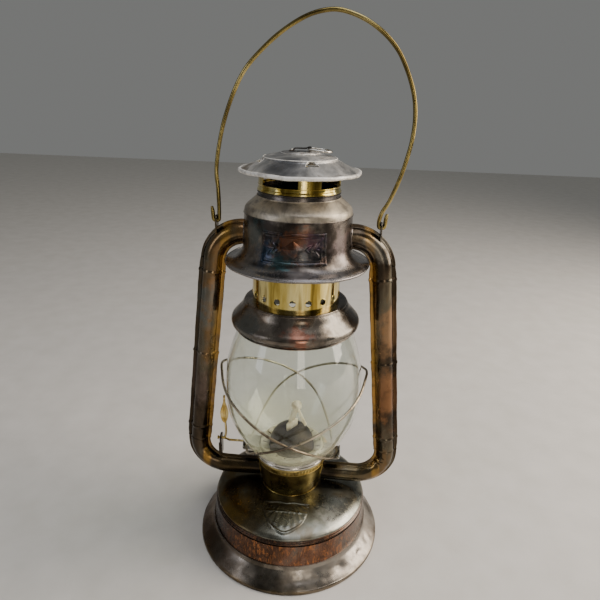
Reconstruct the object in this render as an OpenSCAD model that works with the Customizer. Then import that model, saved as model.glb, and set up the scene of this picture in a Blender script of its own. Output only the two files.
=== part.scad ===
// Tubular cold-blast hand lantern of pressed sheet metal, in millimetres.
// Origin at the centre of the base, on the surface it stands on. +Z is up and the side tubes lie along X.

/* [Fount and base] */
// Radius of the base rim
base_r = 85; // [84:0.5:88]
// Height of the flared skirt
skirt_h = 17.5; // [16:0.5:19]
// Radius of the fount band where it meets the skirt
band_r = 71.6; // [71:0.1:72]
// Height of the seam between the band and the dome
seam_z = 43; // [42:0.5:44]
// Height of the top of the fount dome
dome_z = 53.8; // [53:0.2:54]
// Angle of the filler neck around the fount
filler_angle = 109; // [105:1:120]
// Distance of the filler neck from the centre
filler_dist = 49.5; // [49:0.5:51]

/* [Air cup and side tubes] */
// Height of the top of the air cup
cup_top_z = 86; // [85.8:0.1:86.1]
// Radius of the side tubes
tube_r = 7.75; // [7.5:0.05:8]
// Reach of the seam fins from the centre line on the straight tubes
fin_reach = 11.3; // [11:0.1:11.6]
// Reach of the seam fins from the centre line on the elbows and arms
arm_fin_reach = 10.5; // [9.8:0.1:10.6]
// Splay of the side tubes from upright, in degrees
splay = 5.8; // [5.5:0.1:6]
// Radius of the elbow centre line
elbow_r = 26; // [25:0.5:27]
// Height of the upper arms
upper_arm_z = 291; // [290:0.5:292]
// Height of the lower arms
lower_arm_z = 64.4; // [64.4:0.1:65]

/* [Globe and guard] */
// Height of the globe's foot
globe_foot_z = 90.6; // [90.6:0.1:91]
// Thickness of the glass
glass = 1.8; // [1.5:0.1:2]
// Diameter of the guard wire
guard_d = 2.2; // [2:0.1:2.4]

/* [Hood and chimney] */
// Height of the hood's flange rim
hood_z = 269.3; // [268:0.1:270]
// Radius of the perforated draft ring
draft_r = 35.7; // [35.5:0.1:36]
// Number of holes in the draft ring
draft_holes = 18; // [12:2:24]
// Radius of the chimney tube
chimney_r = 30.6; // [30:0.1:30.6]

/* [Handles and controls] */
// Diameter of the bail wire
bail_d = 3.2; // [3:0.1:3.4]
// Height of the bail pivots
bail_pivot_z = 299; // [298.5:0.5:300]
// Radius of the lift lever's crank
crank_r = 11; // [10:0.5:11]
// Angle of the flat wick and its shaft from the X axis
wick_angle = 50; // [40:5:60]

/* [Hidden] */
$fn = 96;
sheet = 0.8;
run_gap = 0.08;
tube_ref = [69.8, 257.8];
bead_2_z = 183.4;
bead_3_z = 108.1;
bead_h = 2;
bead_out = 0.7;
fin_t = 1.2;
tube_wall = 0.75;
upper_bend = [tube_x(upper_arm_z - elbow_r) - elbow_r / cos(splay), upper_arm_z - elbow_r];
lower_bend = [tube_x(lower_arm_z + elbow_r) - elbow_r / cos(splay), lower_arm_z + elbow_r];
cup_neck_x = 29;
hood_neck_x = 40.5;
hood_r = 42.6;
plate_z = cup_top_z + 0.3;
lug_x = 42.5;
crank_low = -45;
crank_y = crank_r * cos(crank_low);
lever_z = plate_z - 0.4 - guard_d / 2 - crank_r * sin(crank_low);
lever_x = -66;
bell_seat_z = 229;
ledge_z = 267.2;
spring_top_z = 316.8;
spring_low_z = 268.2;
cap_top_z = 354.4;
ring_pivot = [6.6, 356.2];
ring_wire_r = 0.95;
filler_at = [filler_dist * cos(filler_angle), filler_dist * sin(filler_angle)];
wick_w = 13.6;
wick_t = 1.8;
sprocket_r = 5;
shaft_r = 1.5;
shaft_z = 75;
shaft_off = wick_t / 2 + sprocket_r + 0.1;
burner_top_z = 114;
ear_x = 65;
pin_r = bail_d / 2 + 0.1;

// Outlines run from the rim inwards and upwards, as [radius, height] of the outer face.
skirt_line = curve([[84.2, 3.6], [81.5, 6.4], [78, 9.6], [74.8, 12.6], [72.9, 15], [72.4, skirt_h]], 3);
dome_line = concat([[68.9, seam_z]], curve([[68.9, 44.4], [67.6, 45.6], [65, 47.2], [60, 49.3], [53, 51.2],
    [45, 52.6], [36, 53.5], [27, dome_z]], 3), [[15.6, dome_z]]);
cup_line = curve([[26.6, dome_z], [27.4, 59], [28.8, 67], [30, 75.5], [30.9, 81], [31.4, 84.2]], 3);
globe_line = concat([[31.2, globe_foot_z]], curve([[31.2, 91.4], [33.6, 93.4], [39.6, 98.4], [45.4, 106.6],
    [49.8, 114.2], [53.2, 121.8], [56.9, 133], [59, 147], [59.5, 160], [58, 178], [54, 194], [49.5, 207],
    [46.9, 214.5], [45.4, 221], [44.8, 228.7]], 3));
bell_line = concat(curve([[49, 212.6], [50.4, 215.4], [52.6, 217], [53.5, 219.4], [52.8, 222.2], [50, 225.4],
    [45.6, 230.6], [43.4, 234.4], [41.4, 237.2]], 3), [[39.6, 237.5], [draft_r, 237.5]]);
hood_line = curve([[58, hood_z], [55, 271.2], [50, 273], [46, 276], [43.6, 281], [hood_r, 290], [42.5, 303],
    [42.1, 310], [40.2, 314.4], [36, 318.6], [32.2, 321.6]], 3);
cap_line = concat(curve([[45.4, 341.2], [40, 343.5], [35.4, 345.6], [32.6, 347.6],
    [28.5, 350], [24, 351.6], [18.8, 352.6]], 2), [[18, 353.7], [8, 354.2], [0, cap_top_z]]);
burner_line = curve([[20.2, 86], [20.2, 95], [18.8, 101], [15.5, 106.6], [10, 111.2], [4, 113.4],
    [0, burner_top_z]], 3);
// Guard wire stations from a lug round to the opposite side, as [angle, radius, height].
guard_half = [[0, lug_x, 88.6], [17, 41, 89.6], [38, 43.6, 98], [55, 48.4, 109], [72, 55.2, 121],
    [88, 59.8, 131.5], [105, 61.6, 141], [127, 62.1, 152], [150, 62.2, 161.5], [168, 62.2, 168.5]];
guard_peak = [180, 63.6, 171.5];
// The bail wire's bends in its own plane, as [x, z], from the left pivot to the right one.
bail_line = [[-62.7, bail_pivot_z], [-62.8, 310], [-63.2, 324], [-64.2, 337], [-62.1, 354], [-57.4, 374],
    [-49.9, 394], [-41, 410], [-27.3, 424.5], [-12.9, 436], [2.3, 444.5], [15.2, 448], [26, 448], [39.4, 444],
    [50.6, 438], [60, 430.6], [67.5, 422], [74.2, 410], [79.5, 396.5], [82, 383], [82, 368.5], [80, 355],
    [75.9, 338], [69.4, 320], [64.8, 311.5], [62.7, 305.5], [62.7, bail_pivot_z]];

// ---- Helpers ----

function tube_x(z) = tube_ref[0] + (tube_ref[1] - z) * tan(splay);
function reversed(list) = [for (i = [len(list) - 1:-1:0]) list[i]];
function unit(v) = v / norm(v);
function blend(a, b, c, d, t) =
    0.5 * (2 * b + (c - a) * t + (2 * a - 5 * b + 4 * c - d) * t * t + (3 * b - a - 3 * c + d) * t * t * t);

// A smooth line through the given points, with n steps between each two.
function curve(p, n) = concat(
    [for (i = [0:len(p) - 2]) for (k = [0:n - 1])
        blend(p[max(i - 1, 0)], p[i], p[i + 1], p[min(i + 2, len(p) - 1)], k / n)],
    [p[len(p) - 1]]);

// The line moved sideways to its left by d, and kept on the outer side of the axis.
function beside(p, d) = [for (i = [0:len(p) - 1])
    let (along = unit(p[min(i + 1, len(p) - 1)] - p[max(i - 1, 0)]), q = p[i] + d * [-along[1], along[0]])
        [max(0, q[0]), q[1]]];

// A turned sheet-metal shell whose outer face follows the line.
module turned_sheet(line, t = sheet) {
    rotate_extrude() polygon(concat(line, reversed(beside(line, t))));
}

module ring(r_out, r_in, z0, z1) {
    translate([0, 0, z0]) difference() {
        cylinder(r = r_out, h = z1 - z0);
        translate([0, 0, -1]) cylinder(r = r_in, h = z1 - z0 + 2);
    }
}

// A wire of radius r swept along a path; sides are spread round the path against the up vector.
module wire(path, r, sides = 10, up = [0, 1, 0.001], closed = false) {
    m = len(path);
    ends = closed ? m : m - 1;
    along = [for (i = [0:m - 1]) closed ? unit(path[(i + 1) % m] - path[(i + m - 1) % m])
        : unit(path[min(i + 1, m - 1)] - path[max(i - 1, 0)])];
    points = [for (i = [0:m - 1]) let (a = unit(cross(up, along[i])), b = cross(along[i], a))
        for (k = [0:sides - 1]) path[i] + r * (cos(k * 360 / sides) * a + sin(k * 360 / sides) * b)];
    skin = [for (i = [0:ends - 1]) for (k = [0:sides - 1]) let (j = (i + 1) % m, n = (k + 1) % sides)
        [i * sides + k, j * sides + k, j * sides + n, i * sides + n]];
    caps = closed ? [] : [[for (k = [0:sides - 1]) k], [for (k = [sides - 1:-1:0]) (m - 1) * sides + k]];
    polyhedron(points = points, faces = concat(skin, caps), convexity = 10);
}

module on_left() { mirror([1, 0, 0]) children(); }
module along_wick() { rotate([0, 0, wick_angle]) children(); }

// ---- Fount and base ----

module fount_dome() {
    color("gray") difference() {
        turned_sheet(dome_line);
        translate([filler_at[0], filler_at[1], 30]) cylinder(r = 11.5, h = 40);
    }
}

module fount_band() {
    neck_r = 68.05;
    color("sienna") turned_sheet([[band_r, 13.6], [band_r, skirt_h + 1], [71.2, 25], [70.6, 34], [69.8, 40.4],
        [69, 42.2], [neck_r, 42.9], [neck_r, 43.9]]);
}

module fount_bottom() {
    disc_r = band_r - sheet;
    color("dimgray") turned_sheet([[disc_r - 0.2, 9.6], [disc_r, 11.6], [disc_r, 13.4], [68.6, 14.2], [0, 14.2]]);
}

module base_skirt() {
    rim_h = 3.8;
    color("dimgray") union() {
        turned_sheet(concat(skirt_line, [[72.4, skirt_h + 1.4]]));
        rotate_extrude() polygon([[base_r - 3.4, 0], [base_r - 0.9, 0], [base_r, 0.9], [base_r, rim_h - 0.9],
            [base_r - 0.9, rim_h + 0.2], [base_r - 2.6, rim_h + 0.4], [base_r - 3.9, rim_h - 0.8],
            [base_r - 3.9, 0.7]]);
    }
}

// A plain crest raised on the front of the dome.
module fount_badge() {
    badge_w = 41;
    raised = beside(dome_line, -0.7);
    color("slategray") intersection() {
        rotate_extrude() polygon(concat(raised, reversed(dome_line)));
        translate([0, -34.5, 30]) linear_extrude(40) polygon([[-badge_w / 2, 0], [-6, 1.8], [0, 0.6], [6, 1.8],
            [badge_w / 2, 0], [19.4, -11], [15, -21], [7.5, -28.5], [0, -31.5], [-7.5, -28.5], [-15, -21],
            [-19.4, -11]]);
    }
}

module filler_neck() {
    color("peru") translate([filler_at[0], filler_at[1], 0]) difference() {
        union() {
            cylinder_between(11.5, 46, 60);
            cylinder_between(13, 53.9, 54.6);
        }
        translate([0, 0, 40]) cylinder(r = 10.5, h = 30);
    }
}

module cylinder_between(r, z0, z1) { translate([0, 0, z0]) cylinder(r = r, h = z1 - z0); }

// ---- Burner and wick ----

module burner_collar() {
    color("darkgoldenrod") union() {
        ring(15.6, 13.3, 50, 57);
        ring(19, 13.3, dome_z, dome_z + 1);
    }
}

module burner_body() {
    color("goldenrod") difference() {
        turned_sheet([[13.3, 50.5], [13.3, 58], [14.5, 60], [19.4, 65], [21, 68.5], [21, 85], [21.9, 85.6],
            [21.9, 86.4]]);
        along_wick() translate([0, -shaft_off, shaft_z]) rotate([0, 90, 0]) cylinder(r = shaft_r + run_gap, h = 40);
    }
}

module wick_tube() {
    tube_w = wick_w + 2.2;
    tube_t = wick_t + 2.2;
    color("goldenrod") along_wick() difference() {
        union() {
            translate([-tube_w / 2, -tube_t / 2, 48]) cube([tube_w, tube_t, 61]);
            cylinder_between(12.5, 51, 52);
        }
        translate([-wick_w / 2 - 0.3, -wick_t / 2 - 0.3, 40]) cube([wick_w + 0.6, wick_t + 0.6, 80]);
        translate([-5.4, -tube_t, shaft_z - 6]) cube([10.8, tube_t, 12]);
    }
}

module burner_dome() {
    color("tan") difference() {
        turned_sheet(burner_line, 0.6);
        along_wick() translate([-9, -3.4, burner_top_z - 12]) cube([18, 6.8, 20]);
    }
}

module wick_shaft() {
    color("goldenrod") along_wick() translate([-9, -shaft_off, shaft_z]) rotate([0, 90, 0])
        cylinder(r = shaft_r, h = 46);
}

module wick_sprockets() {
    teeth = 8;
    color("goldenrod") along_wick() for (x = [-4.4, 2.4]) translate([x, -shaft_off, shaft_z]) rotate([0, 90, 0])
        linear_extrude(2) difference() {
            polygon([for (i = [0:2 * teeth - 1]) let (r = i % 2 == 0 ? sprocket_r : 3.4)
                r * [cos(i * 180 / teeth), sin(i * 180 / teeth)]]);
            circle(r = shaft_r);
        }
}

module wick_knob() {
    knob_r = 8;
    ribs = 24;
    color("goldenrod") along_wick() translate([34, -shaft_off, shaft_z]) rotate([0, 90, 0]) difference() {
        union() {
            translate([0, 0, 1.6]) linear_extrude(2.6) polygon([for (i = [0:2 * ribs - 1])
                (knob_r - (i % 2) * 0.5) * [cos(i * 180 / ribs), sin(i * 180 / ribs)]]);
            cylinder(r = 3.4, h = 1.8);
        }
        translate([0, 0, -1]) cylinder(r = shaft_r, h = 8);
    }
}

// Flat wick frayed into a thick strand with a knot, from which a thin tail hangs over the burner.
module wick() {
    foot_z = 22.5;
    flat_top = 117.5;
    strand_a = [[-1.8, 0, 116.8], [-2, -1.4, 120.5], [-2, -3.2, 126], [-1.6, -4.8, 131], [-1.4, -5.6, 136]];
    strand_b = [[-1.2, -6.2, 134], [0.4, -9.4, 127], [1.6, -13.2, 120.5], [2.4, -16.6, 114.5]];
    knot = [-1.4, -5.8, 136.6];
    color("wheat") along_wick() union() {
        translate([-wick_w / 2, -wick_t / 2, foot_z]) cube([wick_w, wick_t, flat_top - foot_z]);
        wire(curve(strand_a, 3), 2.2, 8, [1, 0, 0]);
        wire(curve(strand_b, 3), 1.2, 8, [1, 0, 0]);
        translate(knot) sphere(r = 4);
    }
}

// ---- Air cup and side tubes ----

module air_cup() {
    rim_t = 1.6;
    color("darkkhaki") difference() {
        union() {
            turned_sheet(cup_line);
            rotate_extrude() polygon([[30.5, 84], [31.4, 83.4], [32.4, 84.2], [32.6, 85.2], [32.2, cup_top_z],
                [32.6 - rim_t, cup_top_z], [30.6, 85.2]]);
            rotate_extrude() polygon([[19.2, dome_z], [27.2, dome_z], [27.2, dome_z + sheet],
                [19.2, dome_z + sheet]]);
        }
        for (turn = [0, 180]) rotate([0, 0, turn]) translate([20, 0, lower_arm_z]) rotate([90, 0, 90])
            linear_extrude(20) rotate(90) tube_outline(arm_fin_reach, 0.25);
        along_wick() translate([0, -shaft_off, shaft_z]) rotate([0, 90, 0])
            cylinder(r = shaft_r + run_gap, h = 40);
    }
}

// Outer outline of a side tube, with its seam fins along X.
module tube_outline(fin, grow = 0) {
    circle(r = tube_r + grow);
    square([2 * (fin + grow), fin_t + 2 * grow], center = true);
}

module tube_section(fin) {
    difference() {
        tube_outline(fin);
        circle(r = tube_r - tube_wall);
    }
}

module tube_bead() {
    linear_extrude(bead_h) difference() {
        tube_outline(fin_reach, bead_out);
        circle(r = tube_r - tube_wall / 2);
    }
}

// Places children at height z on the right tube's centre line, with local Z along the tube.
module on_tube(z) { translate([tube_x(z), 0, z]) rotate([0, -splay, 0]) children(); }

// A straight length of tube with a crimped bead under each of the given heights.
module straight_tube(z_low, z_high, beads) {
    union() {
        on_tube(z_low) linear_extrude((z_high - z_low) / cos(splay)) tube_section(fin_reach);
        for (z = beads) on_tube(z - bead_h) tube_bead();
    }
}

// Quarter bend of the upper elbow, carried on a little past upright into the hood.
module upper_bend_of(past = 0) {
    translate([upper_bend[0], 0, upper_bend[1]]) rotate([90, 0, 0]) rotate([0, 0, splay])
        rotate_extrude(angle = 90 - splay + past) translate([elbow_r, 0]) children();
}

module lower_bend_of() {
    translate([lower_bend[0], 0, lower_bend[1]]) rotate([90, 0, 0]) rotate([0, 0, -90])
        rotate_extrude(angle = 90 + splay) translate([elbow_r, 0]) children();
}

module upper_elbow() {
    past = asin((upper_bend[0] - hood_neck_x) / elbow_r);
    color("saddlebrown") upper_bend_of(past) tube_section(arm_fin_reach);
}

module upper_tube() {
    color("peru") straight_tube(bead_2_z, upper_bend[1] + elbow_r * sin(splay), [tube_ref[1]]);
}

module lower_tube() {
    bend_z = lower_bend[1] + elbow_r * sin(splay);
    inset = 0.6;
    color("sienna") straight_tube(bend_z, bead_2_z, [bead_2_z - inset, bead_3_z, bend_z + bead_h + inset]);
}

module lower_elbow() {
    color("saddlebrown") union() {
        lower_bend_of() tube_section(arm_fin_reach);
        translate([lower_bend[0], 0, lower_arm_z]) rotate([0, -90, 0])
            linear_extrude(lower_bend[0] - cup_neck_x) tube_section(arm_fin_reach);
    }
}

module right_lower_elbow() { lower_elbow(); }
module left_lower_elbow() { on_left() lower_elbow(); }
module right_lower_tube() { lower_tube(); }
module left_lower_tube() { on_left() lower_tube(); }
module right_upper_tube() { upper_tube(); }
module left_upper_tube() { on_left() upper_tube(); }
module right_upper_elbow() { upper_elbow(); }
module left_upper_elbow() { on_left() upper_elbow(); }

// ---- Hood ----

module hood() {
    color("silver") difference() {
        turned_sheet(hood_line);
        for (turn = [0, 180]) rotate([0, 0, turn]) translate([36, 0, upper_arm_z]) rotate([90, 0, 90])
            linear_extrude(12) rotate(90) tube_outline(arm_fin_reach, 0.3);
    }
}

// A raised frame with a plain diamond, pressed into the front of the hood.
module hood_cartouche() {
    frame_w = 50;
    frame_h = 24;
    centre_z = 289.5;
    border = 2;
    raised = beside(hood_line, -0.8);
    color("slategray") intersection() {
        rotate_extrude() polygon(concat(raised, reversed(hood_line)));
        translate([0, -30, centre_z]) rotate([90, 0, 0]) linear_extrude(20) union() {
            difference() {
                square([frame_w, frame_h], center = true);
                square([frame_w - 2 * border, frame_h - 2 * border], center = true);
            }
            polygon([[-15, 0], [0, -7.5], [15, 0], [0, 7.5]]);
        }
    }
}

// Collar in the hood's opening that the chimney slides through, with a flange for the spring.
module chimney_guide() {
    color("darkslategray") union() {
        ring(31.6, chimney_r + 0.4, 306, 325.6);
        ring(35.2, 31.4, spring_top_z, spring_top_z + sheet);
    }
}

module chimney_spring() {
    turns = 6;
    steps = 16;
    coil_r = 33.6;
    wire_r = 0.8;
    rise = spring_top_z - spring_low_z - 2 * wire_r - 0.1;
    color("gray") wire([for (i = [0:turns * steps]) [coil_r * cos(i * 360 / steps), coil_r * sin(i * 360 / steps),
        spring_low_z + wire_r + 0.05 + rise * i / (turns * steps)]], wire_r, 8, [0, 0, 1]);
}

// Tab standing on the elbow's fin, with the bail's pivot hole.
module right_bail_ear() {
    ear_t = 1.2;
    color("saddlebrown") difference() {
        union() {
            translate([ear_x - ear_t / 2, -4.5, 284]) cube([ear_t, 9, bail_pivot_z - 284]);
            translate([ear_x - ear_t / 2, 0, bail_pivot_z]) rotate([0, 90, 0]) cylinder(r = 4.5, h = ear_t);
        }
        upper_bend_of() tube_outline(arm_fin_reach);
        translate([ear_x - 5, 0, bail_pivot_z]) rotate([0, 90, 0]) cylinder(r = pin_r + run_gap, h = 10);
    }
}

module left_bail_ear() { on_left() right_bail_ear(); }

// ---- Globe carriage ----

module globe_plate() {
    lug_end = lug_x + 2.6;
    lug_t = 1;
    color("silver") union() {
        turned_sheet([[29.9, 81], [29.9, plate_z]]);
        rotate_extrude() polygon([[29, plate_z], [32.8, plate_z], [33.2, plate_z + 0.8], [33, 88.4], [32.5, 89.2],
            [32.5, 91.2], [31.6, 91.2], [31.6, globe_foot_z], [22, globe_foot_z], [22, globe_foot_z - 0.8],
            [29.1, globe_foot_z - 0.8]]);
        for (turn = [0, 180]) rotate([0, 0, turn]) difference() {
            union() {
                translate([29.5, -13, plate_z]) cube([lug_end - 29.5, 22, lug_t]);
                translate([lug_end - lug_t, -7, plate_z]) cube([lug_t, 14, 4.8]);
            }
            translate([0, 0, plate_z - 5]) cylinder(r = 30, h = 12);
        }
    }
}

// Dished plate with radial slots that spreads the air round the burner.
module gallery() {
    slots = 20;
    color("ivory") difference() {
        turned_sheet([[29.2, globe_foot_z], [29.2, 93.4], [28.4, 94.6], [24, 93.4], [21.6, 91.8],
            [21, 90.8]], 0.6);
        for (i = [0:slots - 1]) rotate([0, 0, (i + 0.5) * 360 / slots]) translate([22.6, -0.8, 85])
            cube([4.6, 1.6, 15]);
    }
}

module globe() {
    color("lightcyan", 0.4) turned_sheet(globe_line, glass);
}

// A closed loop of wire that hooks under one lug and rises to a bent peak on the far side.
module guard_loop(spread) {
    half = concat(guard_half, [guard_peak]);
    around = concat(half, [for (i = [len(guard_half) - 1:-1:1]) [360 - guard_half[i][0], guard_half[i][1],
        guard_half[i][2]]]);
    m = len(around);
    smooth = [for (i = [0:m - 1]) for (k = [0:2]) blend(around[(i + m - 1) % m] - [i == 0 ? 360 : 0, 0, 0],
        around[i], around[(i + 1) % m] + [i == m - 1 ? 360 : 0, 0, 0],
        around[(i + 2) % m] + [i > m - 3 ? 360 : 0, 0, 0], k / 3)];
    path = [for (s = smooth) let (r = s[1] + spread * abs(sin(s[0]))) [r * cos(s[0]), r * sin(s[0]), s[2]]];
    color("darkgoldenrod") wire(path, guard_d / 2, 8, [0, 0, 1], true);
}

module right_guard_loop() { guard_loop(0); }
module left_guard_loop() { on_left() guard_loop(guard_d + 0.3); }

// ---- Chimney ----

module globe_bell() { color("dimgray") turned_sheet(bell_line); }

module bell_seat() { color("dimgray") ring(45.2, draft_r, bell_seat_z, bell_seat_z + sheet); }

module draft_ring() {
    hole_z = 244.8;
    color("gold") difference() {
        ring(draft_r, draft_r - sheet, bell_seat_z, ledge_z);
        for (i = [0:draft_holes - 1]) rotate([0, 0, (i + 0.5) * 360 / draft_holes])
            translate([draft_r - 5, 0, hole_z]) rotate([0, 90, 0]) cylinder(r = 2.5, h = 10);
    }
}

module chimney_tube() {
    color("dimgray") union() {
        ring(chimney_r, chimney_r - sheet, ledge_z, 329);
        ring(draft_r, chimney_r - sheet, ledge_z, ledge_z + sheet);
    }
}

// Brass band with four legs that hold the rain cap over the chimney.
module cap_collar() {
    leg_angle = 32;
    color("goldenrod") union() {
        turned_sheet([[32.4, 326], [32, 327.2], [31.4, 328.2], [31.4, 330.2]]);
        intersection() {
            ring(31.4, 30.6, 329.6, 347);
            union() for (i = [0:3]) rotate([0, 0, -71.5 + 90 * i]) linear_extrude(400) polygon([[0, 0],
                [60, -60 * tan(leg_angle / 2)], [60, 60 * tan(leg_angle / 2)]]);
        }
    }
}

module rain_cap() {
    rim_r = 1.5;
    color("lightgray") difference() {
        rotate_extrude() union() {
            polygon(concat(cap_line, reversed(beside(cap_line, sheet))));
            translate([45.3, 340.2]) circle(r = rim_r);
        }
        for (i = [0:3]) rotate([0, 0, -70 + 90 * i]) translate([32.6, 0, 340]) intersection() {
            cylinder(r = 4.4, h = 20);
            translate([-5.6, -6, 0]) cube([5.6, 12, 20]);
        }
    }
}

// Strap riveted across the top of the cap, rolled into a knuckle for the lift ring.
module ring_clip() {
    strap_w = 7;
    color("dimgray") difference() {
        union() {
            translate([-8, -strap_w / 2, cap_top_z]) cube([4, strap_w, 0.9]);
            translate([-5, -strap_w / 2, cap_top_z]) cube([1, strap_w, 2.4]);
            translate([-5, -strap_w / 2, cap_top_z + 1.6]) cube([ring_pivot[0] + 5, strap_w, 1]);
            translate([ring_pivot[0], strap_w / 2, ring_pivot[1]]) rotate([90, 0, 0])
                cylinder(r = 1.9, h = strap_w);
        }
        translate([ring_pivot[0], 10, ring_pivot[1]]) rotate([90, 0, 0])
            cylinder(r = ring_wire_r + run_gap, h = 20);
    }
}

module clip_rivets() {
    color("silver") for (y = [-1.8, 1.8]) translate([-6.6, y, cap_top_z + 0.9]) cylinder(r = 1.2, h = 0.9);
}

// Lift ring, folded down to the right on the cap.
module lift_ring() {
    half_w = 7.4;
    reach = 9.5;
    tilt = 5;
    bow = [for (a = [-90:15:90]) [reach + half_w * cos(a), half_w * sin(a), 0]];
    color("gainsboro") translate([ring_pivot[0], 0, ring_pivot[1]]) union() {
        translate([0, half_w, 0]) rotate([90, 0, 0]) cylinder(r = ring_wire_r, h = 2 * half_w);
        rotate([0, tilt, 0]) wire(concat([[0, -half_w, 0], [reach * 0.5, -half_w, 0]], bow,
            [[reach * 0.5, half_w, 0], [0, half_w, 0]]), ring_wire_r * 0.94, 8, [0, 0, 1]);
    }
}

// ---- Lift lever ----

// Post straddling the left lower arm, with the lever's pivot hole.
module lever_bracket() {
    post_t = 1.6;
    color("darkgoldenrod") difference() {
        union() {
            translate([lever_x - post_t / 2, -5, lower_arm_z]) cube([post_t, 10, lever_z - lower_arm_z]);
            translate([lever_x - post_t / 2, 0, lever_z]) rotate([0, 90, 0]) cylinder(r = 5, h = post_t);
        }
        on_left() lower_bend_of() tube_outline(arm_fin_reach);
        translate([lever_x - 5, 0, lever_z]) rotate([0, 90, 0]) cylinder(r = guard_d / 2 + run_gap, h = 10);
    }
}

// Wire lever: an upright handle, a pivot through the bracket and a crank bar under the plate's lug.
module lift_lever() {
    wire_r = guard_d / 2;
    web_x = lever_x + 4;
    color("goldenrod") union() {
        translate([lever_x - 3.4, 0, lever_z]) rotate([0, 90, 0]) cylinder(r = wire_r, h = 8.4);
        wire(curve([[lever_x + 3.2, 0, lever_z], [web_x + 0.4, 0.6, lever_z + 6], [web_x, 0, lever_z + 20],
            [web_x - 0.8, 0, lever_z + 34], [web_x - 0.6, 0, lever_z + 46]], 4), wire_r * 0.95, 8);
        wire(curve([[lever_x + 4.2, 0, lever_z], [web_x + 1, crank_y / 2, lever_z - crank_y / 2],
            [web_x + 1.6, crank_y, lever_z - crank_y]], 4), wire_r * 0.95, 8, [1, 0, 0]);
        translate([web_x + 0.8, crank_y, lever_z - crank_y]) rotate([0, 90, 0]) cylinder(r = wire_r, h = 24);
    }
}

// Teardrop thumb piece pressed on the lever's handle.
module thumb_pad() {
    pad_t = 2.8;
    color("gold") translate([lever_x + 3.4, pad_t / 2, lever_z + 26]) rotate([90, 0, 0]) linear_extrude(pad_t)
        polygon(curve([[0, -9], [-3, -4], [-3.8, 1], [-2.6, 7], [0, 15], [2.6, 7], [3.8, 1], [3, -4], [0, -9]], 3));
}

// ---- Bail ----

module bail() {
    pin_len = 7.6;
    tail = 11;
    color("darkgoldenrod") union() {
        wire([for (p = curve(bail_line, 2)) [p[0], 0, p[1]]], bail_d / 2, 10);
        for (side = [-1, 1]) {
            translate([side < 0 ? -61.2 - pin_len : 61.2, 0, bail_pivot_z]) rotate([0, 90, 0])
                cylinder(r = pin_r, h = pin_len);
            wire([[side * 67.4, 0, bail_pivot_z], [side * 67.6, 0, bail_pivot_z + 5],
                [side * 68.6, 0, bail_pivot_z + tail]], bail_d / 2 - 0.1, 10);
        }
    }
}

// ---- Filler cap ----

module filler_gasket() {
    color("black") translate([filler_at[0], filler_at[1], 0]) ring(12.3, 9.6, 60.1, 61.2);
}

module filler_cap() {
    cap_r = 13.6;
    ribs = 36;
    color("goldenrod") translate([filler_at[0], filler_at[1], 0]) difference() {
        union() {
            translate([0, 0, 55]) linear_extrude(7) polygon([for (i = [0:2 * ribs - 1])
                (cap_r - (i % 2) * 0.4) * [cos(i * 180 / ribs), sin(i * 180 / ribs)]]);
            cylinder_between(cap_r - 1.2, 61.5, 63.2);
        }
        cylinder_between(12.6, 50, 61.3);
    }
}

fount_dome();
fount_band();
fount_bottom();
base_skirt();
fount_badge();
filler_neck();
burner_collar();
burner_body();
wick_tube();
burner_dome();
air_cup();
left_lower_elbow();
right_lower_elbow();
left_lower_tube();
right_lower_tube();
left_upper_tube();
right_upper_tube();
left_upper_elbow();
right_upper_elbow();
hood();
hood_cartouche();
chimney_guide();
chimney_spring();
left_bail_ear();
right_bail_ear();
lever_bracket();
globe_plate();
gallery();
globe();
left_guard_loop();
right_guard_loop();
globe_bell();
bell_seat();
draft_ring();
chimney_tube();
cap_collar();
rain_cap();
ring_clip();
clip_rivets();
lift_ring();
lift_lever();
thumb_pad();
bail();
wick_shaft();
wick_sprockets();
wick_knob();
wick();
filler_gasket();
filler_cap();
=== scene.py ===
"""Looks of a tubular cold-blast hand lantern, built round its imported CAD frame.

Lengths are in millimetres in the outlines and routes below, and MM turns them into metres.
The lantern's side tubes lie along X, its front is towards -Y and +Z is up.
"""
import math

import bmesh
import bpy
import numpy as np
from mathutils import Matrix, Vector


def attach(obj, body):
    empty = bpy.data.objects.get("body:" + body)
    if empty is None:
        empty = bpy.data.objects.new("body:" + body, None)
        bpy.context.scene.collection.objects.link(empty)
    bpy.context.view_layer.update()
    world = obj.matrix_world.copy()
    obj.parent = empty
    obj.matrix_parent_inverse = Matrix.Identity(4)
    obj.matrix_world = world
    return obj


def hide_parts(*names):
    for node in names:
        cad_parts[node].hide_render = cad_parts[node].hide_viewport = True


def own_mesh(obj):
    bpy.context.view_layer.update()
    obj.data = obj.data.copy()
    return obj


MM = 0.001
TURN = 2 * math.pi

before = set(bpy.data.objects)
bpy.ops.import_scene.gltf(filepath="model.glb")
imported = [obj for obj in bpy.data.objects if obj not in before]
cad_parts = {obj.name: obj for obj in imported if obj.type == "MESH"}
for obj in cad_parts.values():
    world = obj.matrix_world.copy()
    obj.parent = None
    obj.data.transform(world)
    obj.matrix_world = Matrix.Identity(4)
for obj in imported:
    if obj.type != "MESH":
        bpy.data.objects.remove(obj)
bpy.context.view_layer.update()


# ---------------------------------------------------------------- camera

CAMERA_AT = Vector((0.0290, -0.4010, 0.3900))
CAMERA_TURN = math.radians(3.65)
CAMERA_PITCH = math.radians(21.1)
CAMERA_ROLL = math.radians(1.93)
FIELD_OF_VIEW = 2 * math.atan(300 / 518)


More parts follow.
